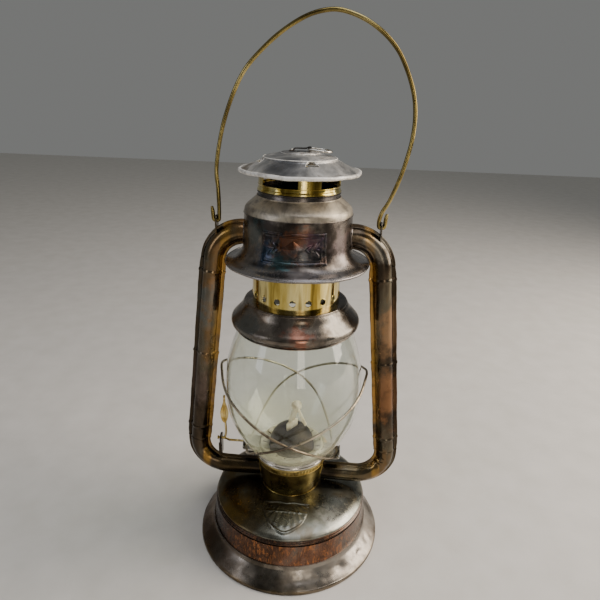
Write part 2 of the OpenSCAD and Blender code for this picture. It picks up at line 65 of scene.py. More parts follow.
def add_camera():
    data = bpy.data.cameras.new("camera")
    data.sensor_width = 36
    data.angle = FIELD_OF_VIEW
    data.clip_start = 0.01
    camera = add_object("camera", data)
    camera.matrix_world = (Matrix.Translation(CAMERA_AT) @ Matrix.Rotation(CAMERA_TURN, 4, "Z")
        @ Matrix.Rotation(math.pi / 2 - CAMERA_PITCH, 4, "X") @ Matrix.Rotation(CAMERA_ROLL, 4, "Z"))
    bpy.context.scene.camera = camera


# ---------------------------------------------------------------- geometry helpers

SHEET_T = 0.8      # thickness of sheet metal
ROUND = 240        # segments round a large turned surface
FINE_ROUND = 288   # segments where a rim or a pleat needs more
CREASE = 38        # degrees between faces above which an edge stays sharp
WELD = 0.004       # points closer than this are one
SLIVER = 0.001     # edges shorter than this are taken out


def add_object(name, data):
    thing = bpy.data.objects.new(name, data)
    bpy.context.scene.collection.objects.link(thing)
    return thing


def evaluated_mesh(thing):
    """The object's mesh as its modifiers or curve settings leave it."""
    bpy.context.view_layer.update()
    graph = bpy.context.evaluated_depsgraph_get()
    return bpy.data.meshes.new_from_object(thing.evaluated_get(graph))


def smooth(points, steps=4, closed=False):
    """A Catmull-Rom line through the points, with steps parts between each two."""
    p = np.array(points, float)
    count = len(p)
    spans = count if closed else count - 1
    out = []
    for i in range(spans):
        if closed:
            a, b, c, d = (p[(i + k) % count] for k in (-1, 0, 1, 2))
        else:
            a, b, c, d = p[max(i - 1, 0)], p[i], p[i + 1], p[min(i + 2, count - 1)]
        for k in range(steps):
            t = k / steps
            out.append(0.5 * (2 * b + (c - a) * t + (2 * a - 5 * b + 4 * c - d) * t ** 2
                + (3 * b - a - 3 * c + d) * t ** 3))
    if not closed:
        out.append(p[-1])
    return np.array(out)


def arc(centre, radius, start, end, steps):
    """Points of a circle's arc in a plane, with angles in degrees."""
    angles = np.radians(np.linspace(start, end, steps + 1))
    return np.stack([centre[0] + radius * np.cos(angles), centre[1] + radius * np.sin(angles)], 1)


def beside(line, distance):
    """The line moved to its left by the distance, and kept off the far side of the axis."""
    line = np.array(line, float)
    along = np.gradient(line, axis=0)
    along /= np.linalg.norm(along, axis=1)[:, None]
    moved = line + distance * np.stack([-along[:, 1], along[:, 0]], 1)
    moved[:, 0] = np.maximum(moved[:, 0], 0)
    return moved


def grid_faces(rows, columns, wrap_rows, wrap_columns):
    """Faces over a grid of points, which can close on itself either way."""
    faces = []
    for i in range(rows if wrap_rows else rows - 1):
        for j in range(columns if wrap_columns else columns - 1):
            i2, j2 = (i + 1) % rows, (j + 1) % columns
            faces.append((i * columns + j, i2 * columns + j, i2 * columns + j2, i * columns + j2))
    return faces


def revolve(loop, around=192, shape=None):
    """A closed outline of [radius, height] turned about Z. shape(angle, radius, height) bends it."""
    loop = np.array(loop, float)
    angle = np.linspace(0, TURN, around, endpoint=False)[:, None]
    radius = np.repeat(loop[None, :, 0], around, 0)
    height = np.repeat(loop[None, :, 1], around, 0)
    if shape:
        d_radius, d_height = shape(angle, radius, height)
        radius, height = radius + d_radius, height + d_height
    verts = np.stack([radius * np.cos(angle), radius * np.sin(angle), height], 2).reshape(-1, 3)
    return verts, grid_faces(around, len(loop), True, True)


def sheet(line, thick=SHEET_T, around=192, shape=None):
    """Sheet metal turned about Z, whose outer face follows the line."""
    line = np.array(line, float)
    return revolve(np.vstack([line, beside(line, thick)[::-1]]), around, shape)


def bead(radius, height, wire, around=192, shape=None, sides=14):
    """A round wire or rolled rim lying in a circle."""
    return revolve(arc((radius, height), wire, 0, 360 * (1 - 1 / sides), sides - 1), around, shape)


def frames_along(path, up, closed=False):
    """Unit vectors along a path and across it, with up as the rough direction of the second."""
    path = np.array(path, float)
    if closed:
        along = np.roll(path, -1, 0) - np.roll(path, 1, 0)
    else:
        along = np.gradient(path, axis=0)
    along /= np.linalg.norm(along, axis=1)[:, None]
    side = np.cross(np.array(up, float), along)
    side /= np.linalg.norm(side, axis=1)[:, None]
    return along, side, np.cross(along, side)


def sweep(path, section, up=(0, 1, 0.001), closed=False, scale=None):
    """A section of [side, up] points carried along a path. scale is one number per station."""
    path = np.array(path, float)
    section = np.array(section, float)
    along, side, rise = frames_along(path, up, closed)
    size = np.ones(len(path)) if scale is None else np.array(scale, float)
    shaped = section[None] * size[:, None, None] if section.ndim == 2 else section
    verts = path[:, None] + shaped[..., 0:1] * side[:, None] + shaped[..., 1:2] * rise[:, None]
    columns = verts.shape[1]
    faces = grid_faces(len(path), columns, closed, True)
    if not closed:
        faces.append(tuple(range(columns)))
        faces.append(tuple((len(path) - 1) * columns + k for k in range(columns))[::-1])
    return verts.reshape(-1, 3), faces


def round_section(radius, sides=14):
    return arc((0, 0), radius, 0, 360 * (1 - 1 / sides), sides - 1)


def wire(path, radius, up=(0, 1, 0.001), closed=False, scale=None, sides=14):
    return sweep(path, round_section(radius, sides), up, closed, scale)


def ribbon(path, width, thick, up=(0, 1, 0.001)):
    """A strap with rounded edges. Its width lies along up."""
    half_w, half_t = width / 2, thick / 2
    corners = []
    for sx, sy, start in ((1, 1, 0), (-1, 1, 90), (-1, -1, 180), (1, -1, 270)):
        corners += list(arc((sx * (half_t - 0.3 * thick), sy * (half_w - 0.3 * thick)), 0.3 * thick, start,
            start + 90, 3))
    return sweep(path, corners, up)


def moved(part, matrix):
    """A part with its points turned and shifted by the matrix."""
    verts, faces = part
    verts = np.c_[verts, np.ones(len(verts))] @ np.array(matrix).T
    return verts[:, :3], faces


def plate(outline, thick, holes=(), edge=0.15):
    """A flat plate in the XY plane, centred on Z, with rounded edges and round holes."""
    curve = bpy.data.curves.new("plate", "CURVE")
    curve.dimensions = "2D"
    curve.fill_mode = "BOTH"
    curve.extrude = thick / 2 - edge
    curve.bevel_depth = edge
    curve.bevel_resolution = 2
    curve.offset = -edge
    loops = [np.array(outline, float)] + [arc(centre, r, 0, 345, 23) for *centre, r in holes]
    for loop in loops:
        spline = curve.splines.new("POLY")
        spline.points.add(len(loop) - 1)
        spline.points.foreach_set("co", np.c_[loop, np.zeros(len(loop)), np.ones(len(loop))].ravel())
        spline.use_cyclic_u = True
    holder = add_object("plate", curve)
    mesh = evaluated_mesh(holder)
    verts = np.array([v.co for v in mesh.vertices])
    faces = [tuple(p.vertices) for p in mesh.polygons]
    bpy.data.objects.remove(holder)
    bpy.data.meshes.remove(mesh)
    return verts, faces


def make_mesh(name, parts):
    """One mesh in metres from (points, faces) parts in millimetres."""
    verts, faces, start = [], [], 0
    for part_verts, part_faces in parts:
        verts.append(part_verts)
        faces += [tuple(start + i for i in face) for face in part_faces]
        start += len(part_verts)
    mesh = bpy.data.meshes.new(name)
    mesh.from_pydata((np.vstack(verts) * MM).tolist(), [], faces)
    cleaner = bmesh.new()
    cleaner.from_mesh(mesh)
    bmesh.ops.remove_doubles(cleaner, verts=cleaner.verts, dist=WELD * MM)
    bmesh.ops.dissolve_degenerate(cleaner, edges=cleaner.edges, dist=SLIVER * MM)
    bmesh.ops.recalc_face_normals(cleaner, faces=cleaner.faces)
    cleaner.to_mesh(mesh)
    cleaner.free()
    return mesh


def cut_away(thing, cutters):
    """Takes the cutters' shapes out of a piece."""
    tool = add_object("cutter", make_mesh("cutter", cutters))
    cut = thing.modifiers.new("cut", "BOOLEAN")
    cut.operation = "DIFFERENCE"
    cut.solver = "EXACT"
    cut.use_self = True
    cut.object = tool
    mesh = evaluated_mesh(thing)
    thing.modifiers.clear()
    mesh.materials.clear()
    for material in thing.data.materials:
        mesh.materials.append(material)
    thing.data = mesh
    bpy.data.objects.remove(tool)
    finish_surface(mesh)


def finish_surface(mesh, crease=CREASE):
    mesh.polygons.foreach_set("use_smooth", [True] * len(mesh.polygons))
    mesh.set_sharp_from_angle(angle=math.radians(crease))


def piece(name, parts, material, body, nodes=None, crease=CREASE):
    """A piece made of parts, which rides on a body and stands for the nodes, or the node of its own name."""
    mesh = make_mesh(name, parts)
    thing = add_object(name, mesh)
    mesh.materials.append(material)
    finish_surface(mesh, crease)
    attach(thing, body)
    nodes = [name] if nodes is None else nodes
    if nodes:
        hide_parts(*nodes)
    return thing


def box_part(low, high):
    x, y, z = zip(low, high)
    verts = np.array([(x[i], y[j], z[k]) for i in (0, 1) for j in (0, 1) for k in (0, 1)], float)
    return verts, [(0, 1, 3, 2), (4, 6, 7, 5), (0, 4, 5, 1), (2, 3, 7, 6), (0, 2, 6, 4), (1, 5, 7, 3)]


def ripple(angle, waves):
    """A sum of waves round a circle, each (count, size, phase)."""
    return sum(size * np.sin(count * angle + phase) for count, size, phase in waves)


def dent(angle, height, at_angle, at_height, half_angle, half_height, depth):
    """A smooth hollow on a turned surface."""
    turn = (angle - math.radians(at_angle) + math.pi) % TURN - math.pi
    rise = (height - at_height) / half_height
    return -depth * np.exp(-(turn / math.radians(half_angle)) ** 2 - rise ** 2)


def dents(angle, height, *marks):
    """Several hollows, each (at angle, at height, half angle, half height, depth)."""
    return sum(dent(angle, height, *mark) for mark in marks)


# ---------------------------------------------------------------- material helpers


def colour(code):
    """Linear colour of a hex code."""
    parts = [int(code[i:i + 2], 16) / 255 for i in (0, 2, 4)]
    return [c / 12.92 if c <= 0.04045 else ((c + 0.055) / 1.055) ** 2.4 for c in parts] + [1]


class Look:
    """A node material under construction, with Object coordinates as its base."""

    def __init__(self, name, slot):
        self.material = bpy.data.materials.new(name)
        self.material.use_nodes = True
        self.material["slot"] = slot
        self.nodes = self.material.node_tree.nodes
        self.links = self.material.node_tree.links
        self.shader = self.nodes["Principled BSDF"]
        self.coords = self.nodes.new("ShaderNodeTexCoord").outputs["Object"]

    def link(self, source, target):
        if isinstance(source, bpy.types.NodeSocket):
            self.links.new(source, target)
        else:
            target.default_value = source

    def stretched(self, scale):
        node = self.nodes.new("ShaderNodeMapping")
        node.inputs["Scale"].default_value = scale
        self.links.new(self.coords, node.inputs["Vector"])
        return node.outputs[0]

    def noise(self, scale, detail=5, rough=0.55, stretch=(1, 1, 1), warp=0.0):
        node = self.nodes.new("ShaderNodeTexNoise")
        node.inputs["Scale"].default_value = scale
        node.inputs["Detail"].default_value = detail
        node.inputs["Roughness"].default_value = rough
        node.inputs["Distortion"].default_value = warp
        self.links.new(self.stretched(stretch), node.inputs["Vector"])
        return node.outputs["Fac"]

    def place(self, axis, low, high):
        """0 to 1 between two places along an axis, in millimetres."""
        split = self.nodes.new("ShaderNodeSeparateXYZ")
        self.links.new(self.coords, split.inputs[0])
        return self.remap(split.outputs[axis], low * MM, high * MM)

    def spot(self, centre, radius):
        """1 near a place and 0 from a radius outwards, with a ragged edge. Both are in millimetres."""
        node = self.nodes.new("ShaderNodeVectorMath")
        node.operation = "DISTANCE"
        node.inputs[1].default_value = [c * MM for c in centre]
        self.links.new(self.coords, node.inputs[0])
        share = self.maths("DIVIDE", node.outputs["Value"], radius * MM)
        ragged = self.remap(self.noise(2200 / radius, 4, 0.6), 0.3, 0.7, -0.4, 0.4)
        return self.remap(self.plus(share, ragged), 1.0, 0.3)

    def remap(self, value, low, high, out_low=0.0, out_high=1.0):
        node = self.nodes.new("ShaderNodeMapRange")
        node.interpolation_type = "SMOOTHSTEP"
        for index, number in enumerate((low, high, out_low, out_high)):
            node.inputs[1 + index].default_value = number
        self.links.new(value, node.inputs[0])
        return node.outputs[0]

    def ramp(self, value, stops):
        node = self.nodes.new("ShaderNodeValToRGB")
        elements = node.color_ramp.elements
        while len(elements) < len(stops):
            elements.new(0.5)
        for element, (position, code) in zip(elements, stops):
            element.position = position
            element.color = colour(code)
        self.links.new(value, node.inputs[0])
        return node.outputs[0]

    def mix(self, share, first, second, mode="MIX"):
        node = self.nodes.new("ShaderNodeMix")
        node.data_type = "RGBA"
        node.blend_type = mode
        self.link(share, node.inputs["Factor"])
        self.link(colour(first) if isinstance(first, str) else first, node.inputs[6])
        self.link(colour(second) if isinstance(second, str) else second, node.inputs[7])
        return node.outputs[2]

    def maths(self, operation, first, second):
        node = self.nodes.new("ShaderNodeMath")
        node.operation = operation
        self.link(first, node.inputs[0])
        self.link(second, node.inputs[1])
        return node.outputs[0]

    def times(self, first, second):
        return self.maths("MULTIPLY", first, second)

    def plus(self, first, second):
        return self.maths("ADD", first, second)

    def wash(self, mask, share, base, code):
        """Lays a share of a colour over the base where the mask is 1."""
        return self.mix(self.times(mask, share), base, code)

    def waviness(self):
        """Slow relief, as of sheet metal that has been handled."""
        return self.noise(60, 4, 0.5)

    def feeding(self, socket):
        """The output that feeds a socket of the shader."""
        return self.shader.inputs[socket].links[0].from_socket

    def set(self, **sockets):
        for name, value in sockets.items():
            self.link(value, self.shader.inputs[name.replace("_", " ")])
        return self

    def bump(self, layers, distance=0.1):
        """Adds (height, strength) layers as relief. distance is in millimetres."""
        normal = None
        for height, strength in layers:
            node = self.nodes.new("ShaderNodeBump")
            node.inputs["Strength"].default_value = strength
            node.inputs["Distance"].default_value = distance * MM
            self.links.new(height, node.inputs["Height"])
            if normal:
                self.links.new(normal, node.inputs["Normal"])
            normal = node.outputs[0]
        self.links.new(normal, self.shader.inputs["Normal"])
        return self


def stains_and_highlights(look, base, spots):
    """Lays (x, y, z, radius, hex, share) spots over the base, in millimetres: stains, and on some pieces
    painted highlights.
    """
    for x, y, z, radius, code, share in spots:
        base = look.mix(look.times(look.spot((x, y, z), radius), share), base, code)
    return base


def aged_metal(name, slot, stops, patch=22, rough=(0.2, 0.42), grime="2a2018", grime_share=0.5, relief=0.25,
        streak=(1, 1, 0.12), stretch=(1, 1, 1), metallic=1.0, tints=(), spots=()):
    """Plated sheet metal with patches of colour, grime, fine scratches and dull spots.

    tints are (axis, low, high, hex, share) washes of colour along an axis, some of which are painted shade
    or painted highlight on one side, and spots are (x, y, z, radius, hex, share) stains and some painted
    highlights, in millimetres."""
    look = Look(name, slot)
    patches = look.noise(patch, 6, 0.6, stretch, warp=0.4)
    base = look.ramp(look.remap(patches, 0.28, 0.72), stops)
    for axis, low, high, code, share in tints:
        mask = look.times(look.place(axis, low, high), look.remap(look.noise(patch * 1.7, 4, 0.6), 0.3, 0.6))
        base = look.wash(mask, share, base, code)
    base = stains_and_highlights(look, base, spots)
    streaks = look.noise(170, 4, 0.6, stretch=streak)
    paler = look.mix(1.0, base, "efe6d6", "MULTIPLY")
    base = look.mix(look.remap(streaks, 0.35, 0.75, 0, 0.28), base, paler)
    dirt = look.remap(look.noise(patch * 2.6, 9, 0.68, stretch, warp=0.3), 0.5, 0.74)
    base = look.wash(dirt, grime_share, base, grime)
    specks = look.remap(look.noise(900, 3, 0.6), 0.62, 0.72)
    base = look.wash(specks, 0.35 * grime_share, base, grime)
    scratches = look.noise(1500, 2, 0.5, stretch=(0.05, 1, 0.35), warp=0.2)
    smears = look.noise(patch * 1.3, 5, 0.6, warp=1.2)
    roughness = look.remap(smears, 0.3, 0.7, rough[0], rough[1])
    roughness = look.plus(roughness, look.times(dirt, 0.22))
    roughness = look.plus(roughness, look.remap(streaks, 0.4, 0.7, 0, 0.06))
    look.set(Base_Color=base, Roughness=roughness, Metallic=metallic)
    look.bump([(look.waviness(), relief), (scratches, relief * 0.22), (specks, relief * 0.35)], 0.35)
    return look


# ---------------------------------------------------------------- materials

# Heat colours on the front of the hood, which run on across the pressed panel. The last one, a pale pinkish
# spot on the right, is a painted highlight.
HEAT_AND_HIGHLIGHT_SPOTS = ((0, -42, 291, 46, "342f2c", 0.92), (-31, -30, 298, 15, "3f5558", 0.55),
    (-22, -38, 283, 13, "33465c", 0.5), (-8, -42, 279, 11, "3c6266", 0.55),
    (-36, -24, 284, 12, "4c4438", 0.5), (-3, -43, 293, 11, "74492f", 0.6), (9, -42, 300, 10, "6a4430", 0.5),
    (16, -40, 296, 10, "4a3a50", 0.45), (36, -24, 292, 14, "85787a", 0.6))


def hood_sheet():
    """Nickelled steel with a dull cream shoulder above the step and heat colours below it, a pale painted
    highlight on the right and a brown wash on the left.
    """
    # The pale wash on the right (X 20 to 42) is a painted highlight; the left (X -40 to -60) is washed
    # brown.
    look = aged_metal("aged_nickel_hood", "hood_steel", [(0.0, "45423f"), (0.3, "625c57"), (0.5, "7c746d"),
        (0.7, "8c847c"), (0.88, "75685a"), (1.0, "806a58")], patch=24, rough=(0.18, 0.32), grime="2b2420",
        grime_share=0.35, tints=((0, 20, 42, "a39a96", 0.5), (0, -40, -60, "6d6050", 0.6)), spots=HEAT_AND_HIGHLIGHT_SPOTS)
    metal = look.feeding("Base Color")
    rough = look.feeding("Roughness")
    shoulder = look.place(2, 308.7, 309.5)
    flange = look.place(2, 275.5, 272.5)
    cream = look.ramp(look.remap(look.noise(60, 7, 0.65, warp=0.5), 0.3, 0.7),
        [(0.0, "80776a"), (0.35, "a89f90"), (0.7, "c6bba6"), (1.0, "918a82")])
    metal = look.wash(flange, 0.6, metal, "b3afae")
    look.set(Base_Color=look.wash(shoulder, 0.85, metal, cream), Metallic=look.remap(shoulder, 0, 1, 1.0,
        0.8), Roughness=look.plus(rough, look.times(shoulder, 0.12)))
    return look.material


# Near-white finish for the rolled rims, tier beads and vent lips: worn bright metal, with painted highlight
# lines along the edges.
highlit_cap_edge = aged_metal("worn_cap_edge_painted_highlight", "cap_steel", [(0.0, "8f8c86"), (0.35, "c9c6c0"), (0.7, "eceae5"),
    (1.0, "f6f4f0")], patch=70, rough=(0.36, 0.5), grime="57503f", grime_share=0.3, relief=0.1,
    metallic=0.35).material
cap_metal = aged_metal("weathered_cap", "cap_steel", [(0.0, "5f6062"), (0.3, "8a8a8a"), (0.6, "b4b3b0"),
    (0.85, "dad7d2"), (1.0, "857c70")], patch=34, rough=(0.32, 0.52), grime="3b342c", grime_share=0.42,
    streak=(1, 1, 0.5), metallic=0.85).material
polished_brass = aged_metal("polished_brass", "bright_brass", [(0.0, "5c4a1e"), (0.25, "9a833a"),
    (0.5, "cbb562"), (0.8, "eadb9a"), (1.0, "8a7434")], patch=62, rough=(0.07, 0.17), grime="4a3c16",
    grime_share=0.42, streak=(1, 1, 0.03), stretch=(1, 1, 0.1), relief=0.06).material
# The darker wash on the left of the cup (X -8 to -30) is painted shade.
cup_metal = aged_metal("aged_cup_brass", "cup_brass", [(0.0, "42361f"), (0.3, "64532e"), (0.55, "80703f"),
    (0.8, "9a8850"), (1.0, "56462a")], patch=34, rough=(0.2, 0.38), grime="241b10", grime_share=0.5,
    tints=((2, 78.6, 80.5, "d8c078", 0.8), (0, -8, -30, "4a3a22", 0.5))).material
dark_metal = aged_metal("smoked_steel", "dark_steel", [(0.0, "33302e"), (0.35, "4f4b49"), (0.55, "6b645f"),
    (0.78, "7c6a60"), (0.92, "7a4f3e"), (1.0, "8a8079")], patch=22, rough=(0.16, 0.32), grime="171311",
    grime_share=0.45).material
# The pale spot on the right of the bell is a painted highlight; the reddish and teal spots are heat colours.
bell_metal = aged_metal("smoked_bell_steel", "dark_steel", [(0.0, "393531"), (0.3, "5a534c"),
    (0.5, "756d64"), (0.7, "82796e"), (0.86, "6c5e50"), (1.0, "989086")], patch=20, rough=(0.14, 0.28),
    grime="171413", grime_share=0.4, spots=((6, -50, 222, 14, "8a4c34", 0.6),
    (-36, -36, 224, 16, "556264", 0.45), (38, -34, 226, 22, "a09c94", 0.5))).material
# The paler wash and the pale spot on the right of the fount are painted highlight; the left is washed
# brown-gold.
fount_metal = aged_metal("worn_fount", "fount_steel", [(0.0, "3f3d37"), (0.3, "5b5a51"), (0.55, "75766c"),
    (0.8, "8d8f87"), (1.0, "6c5f48")], patch=18, rough=(0.2, 0.36), grime="241d17", grime_share=0.36,
    relief=0.16, tints=((0, 2, -50, "57451f", 0.95), (0, 8, 55, "a5a79f", 0.55)),
    spots=((44, -40, 48, 20, "c4c5bd", 0.5), (-46, -38, 48, 24, "7d6230", 0.5))).material
# On the skirt, the dark wash on the left is painted shade and the pale wash on the right is painted
# highlight; the foot rim is washed brown.
skirt_metal = aged_metal("worn_skirt", "skirt_steel", [(0.0, "3b362f"), (0.3, "5c564d"), (0.55, "7c756c"),
    (0.8, "968f86"), (1.0, "5c4d3c")], patch=17, rough=(0.2, 0.36), grime="1f1813", grime_share=0.42,
    relief=0.2, tints=((0, -10, -70, "4f3d2e", 0.85), (0, 5, 70, "bcb6af", 0.55),
    (2, 5, 3, "6f5c3c", 0.5))).material
plate_metal = aged_metal("worn_plate", "plate_steel", [(0.0, "807c74"), (0.4, "b0aca3"), (0.7, "d6d2c9"),
    (1.0, "968d7c")], patch=60, rough=(0.12, 0.24), grime="2c251d", grime_share=0.28, relief=0.06).material
wire_brass = aged_metal("bail_wire_brass", "bail_brass", [(0.0, "54482a"), (0.35, "75673c"),
    (0.65, "93834f"), (1.0, "b5a672")], patch=18, rough=(0.14, 0.24), grime="30281a", grime_share=0.1,
    relief=0.02, streak=(0.15, 0.15, 0.15)).material
guard_metal = aged_metal("guard_wire_metal", "guard_wire", [(0.0, "4a4136"), (0.4, "7d7160"),
    (0.7, "b3a78f"), (1.0, "ddd3bd")], patch=22, rough=(0.2, 0.34), grime="1c1610", grime_share=0.35,
    relief=0.06).material
lever_brass = aged_metal("lever_brass_worn", "lever_brass", [(0.0, "a08240"), (0.4, "cdb064"),
    (0.75, "e4d096"), (1.0, "8a6f38")], patch=60, rough=(0.14, 0.28), grime="3a2a14", grime_share=0.3,
    relief=0.1).material
burner_metal = aged_metal("burner_steel_aged", "burner_brass", [(0.0, "211e1b"), (0.4, "332f29"),
    (0.7, "474138"), (1.0, "2c2720")], patch=50, rough=(0.38, 0.56), grime="2b241a",
    grime_share=0.4).material
gallery_metal = aged_metal("tarnished_gallery", "gallery_tin", [(0.0, "c4bc9c"), (0.4, "e0dabf"),
    (0.75, "f0ebd6"), (1.0, "a99c78")], patch=70, rough=(0.36, 0.56), grime="5a4c32", grime_share=0.3,
    metallic=0.25, relief=0.1).material
spring_metal = aged_metal("spring_wire_metal", "spring_steel", [(0.0, "45423f"), (0.5, "6b6763"),
    (1.0, "857f78")], patch=60).material


def heat_tinted_panel():
    """The pressed front panel, blued and purpled by heat and dark in its recesses."""
    look = Look("heat_tinted_panel", "hood_steel")
    drift = look.noise(46, 5, 0.6, warp=1.2)
    base = look.ramp(look.remap(drift, 0.3, 0.7), [(0.0, "211f1f"), (0.3, "37383a"), (0.5, "453f40"),
        (0.7, "4e4039"), (1.0, "2b2829")])
    # The shared spots end with the hood's painted highlight on the right.
    base = stains_and_highlights(look, base, HEAT_AND_HIGHLIGHT_SPOTS[1:])
    scuff = look.remap(look.noise(420, 5, 0.7, stretch=(1, 1, 0.5), warp=1), 0.5, 0.66)
    base = look.wash(scuff, 0.3, base, "857c74")
    look.set(Base_Color=base, Metallic=1.0, Roughness=look.remap(drift, 0.3, 0.7, 0.16, 0.34))
    look.bump([(look.waviness(), 0.2), (scuff, 0.1)], 0.3)
    return look.material


def copper_band():
    """Copper band with an upright mottle, darker under its seam, with painted shade darkening the left and a
    painted highlight making the right greyer.
    """
    look = Look("copper_band_streaked", "band_copper")
    swirl = look.noise(300, 6, 0.7, stretch=(1, 1, 0.3), warp=1.8)
    patches = look.noise(24, 5, 0.6, warp=0.8)
    base = look.ramp(look.remap(patches, 0.3, 0.7), [(0.0, "3e2f26"), (0.4, "5f4638"), (0.7, "755646"),
        (1.0, "6f6258")])
    base = look.mix(look.remap(swirl, 0.5, 0.66, 0, 0.8), base, "c58250")
    base = look.mix(look.remap(look.noise(210, 5, 0.65, stretch=(1, 1, 0.35), warp=1.4), 0.5, 0.66, 0, 0.5),
        base, "34231a")
    base = look.mix(look.times(look.place(2, 38.4, 39.2), 0.7), base, "3a322c")
    # Painted shade on the left side and a painted highlight on the right side.
    base = look.wash(look.place(0, -20, -66), 0.75, base, "2b211a")
    base = look.wash(look.place(0, 42, 68), 0.6, base, "8d857e")
    look.set(Base_Color=base, Roughness=look.remap(swirl, 0.3, 0.7, 0.2, 0.4), Metallic=1.0)
    look.bump([(swirl, 0.5), (look.waviness(), 0.3)], 0.3)
    return look.material


def clear_glass():
    """Old clear glass with a faint green cast, a milky film and a few smears, which lets lamps through. Its
    cream tint grows towards the bottom as a painted reflection of the gallery.
    """
    look = Look("old_clear_glass", "globe_glass")
    smear = look.remap(look.noise(30, 6, 0.6, stretch=(1, 1, 0.5), warp=1.5), 0.48, 0.75)
    look.set(Base_Color=colour("f1f5f1"), Transmission_Weight=1.0, IOR=1.46, Metallic=0.0,
        Roughness=look.times(smear, 0.09))
    look.bump([(look.noise(38, 3, 0.5), 0.16)], 0.6)
    haze_and_reflection = look.nodes.new("ShaderNodeBsdfDiffuse")
    haze_and_reflection.inputs["Color"].default_value = colour("e4dfc8")
    smear_and_reflection_mix = look.nodes.new("ShaderNodeMixShader")
    # Painted reflection: a cream tint that grows towards the bottom of the globe and stands for the gallery
    # seen in the glass.
    low_painted_reflection = look.times(look.place(2, 136, 96), 0.3)
    look.link(look.plus(look.times(smear, 0.05), low_painted_reflection), smear_and_reflection_mix.inputs[0])
    look.links.new(look.shader.outputs[0], smear_and_reflection_mix.inputs[1])
    look.links.new(haze_and_reflection.outputs[0], smear_and_reflection_mix.inputs[2])
    clear = look.nodes.new("ShaderNodeBsdfTransparent")
    clear.inputs["Color"].default_value = colour("e6ebe4")
    chosen = look.nodes.new("ShaderNodeMixShader")
    rays = look.nodes.new("ShaderNodeLightPath")
    look.links.new(rays.outputs["Is Shadow Ray"], chosen.inputs[0])
    look.links.new(smear_and_reflection_mix.outputs[0], chosen.inputs[1])
    look.links.new(clear.outputs[0], chosen.inputs[2])
    look.links.new(chosen.outputs[0], look.nodes["Material Output"].inputs["Surface"])
    return look.material


def cotton():
    """Off-white cotton with darker fibres."""
    look = Look("frayed_cotton", "wick_cotton")
    fibres = look.noise(1400, 4, 0.7, stretch=(1, 1, 0.3))
    blotch = look.noise(120, 4, 0.6)
    base = look.ramp(look.remap(blotch, 0.3, 0.7), [(0.0, "dccaa4"), (0.5, "f2e6ca"), (1.0, "fdf5e2")])
    base = look.mix(look.remap(fibres, 0.45, 0.7, 0, 0.35), base, "a8926a")
    look.set(Base_Color=base, Roughness=0.9, Sheen_Weight=0.35, Metallic=0.0)
    look.bump([(fibres, 0.6)], 0.3)
    return look.material


def black_rubber():
    """The filler cap's gasket."""
    look = Look("aged_rubber", "gasket")
    grain = look.noise(500, 4, 0.6)
    look.set(Base_Color=look.ramp(grain, [(0.3, "14110f"), (0.7, "2c2824")]), Metallic=0.0,
        Roughness=look.remap(grain, 0.3, 0.7, 0.6, 0.85))
    look.bump([(grain, 0.3)], 0.2)
    return look.material


hood_metal = hood_sheet()
band_metal = copper_band()
panel_metal = heat_tinted_panel()
globe_glass = clear_glass()
wick_cotton = cotton()
gasket_rubber = black_rubber()


# ---------------------------------------------------------------- fount and base

DOME_LINE = np.vstack([smooth([[68.9, 43.2], [68.9, 44.4], [67.6, 45.6], [65, 47.2], [60, 49.3], [53, 51.2],
    [45, 52.6], [36, 53.5], [27, 53.8]], 5), [[15.6, 53.8]]])
FILLER_AT = (-16.116, 46.803)


def dome_height(radius):
    return np.interp(radius, DOME_LINE[::-1, 0], DOME_LINE[::-1, 1])


def dome_shape(angle, radius, height):
    outer = np.clip((radius - 20) / 30, 0, 1) * np.clip((68 - radius) / 8, 0, 1)
    sag = ripple(angle, ((3, 0.10, 0.4), (5, 0.07, 2.0), (11, 0.03, 0.7))) * outer
    hollows = dents(angle, radius, (-38, 58, 13, 7, 0.45), (-132, 55, 10, 8, 0.3), (35, 50, 16, 9, 0.35))
    return 0, sag - 0.1 * outer + hollows * outer


def fount_dome():
    part = sheet(DOME_LINE, SHEET_T, ROUND, dome_shape)
    thing = piece("fount_dome", [part], fount_metal, "frame")
    hole = revolve([[0, 40], [11.5, 40], [11.5, 70], [0, 70]], 64)
    cut_away(thing, [moved(hole, Matrix.Translation((*FILLER_AT, 0)))])


def fount_band():
    lower = [[71.5, 13.6], [71.6, 18.5], [71.4, 20], [71.2, 25], [70.6, 34], [70.2, 38.2]]
    seam = [[70.0, 39.2], [70.25, 40.0], [69.9, 40.8], [69.4, 41.2], [69.5, 41.9], [68.9, 42.6], [68.2, 43],
        [68.05, 43.9]]

    def shape(angle, radius, height):
        free = np.clip((height - 19) / 4, 0, 1) * np.clip((39 - height) / 4, 0, 1)
        hollows = dents(angle, height, (-62, 30, 9, 6, 0.5), (-150, 28, 8, 7, 0.4), (20, 31, 7, 6, 0.5))
        return free * (ripple(angle, ((2, 0.15, 1), (7, 0.06, 0), (13, 0.04, 2))) - 0.2 + hollows), 0

    seam_lap = ribbon([[71.0 * math.cos(a), 71.0 * math.sin(a), z] for a in [math.radians(98)]
        for z in np.linspace(19.4, 38, 14)], 5, 0.5, up=(1, 0.14, 0))
    piece("fount_band", [sheet(smooth(lower, 4), SHEET_T, ROUND, shape),
        sheet(smooth(seam, 3), SHEET_T, ROUND), seam_lap], band_metal, "frame")


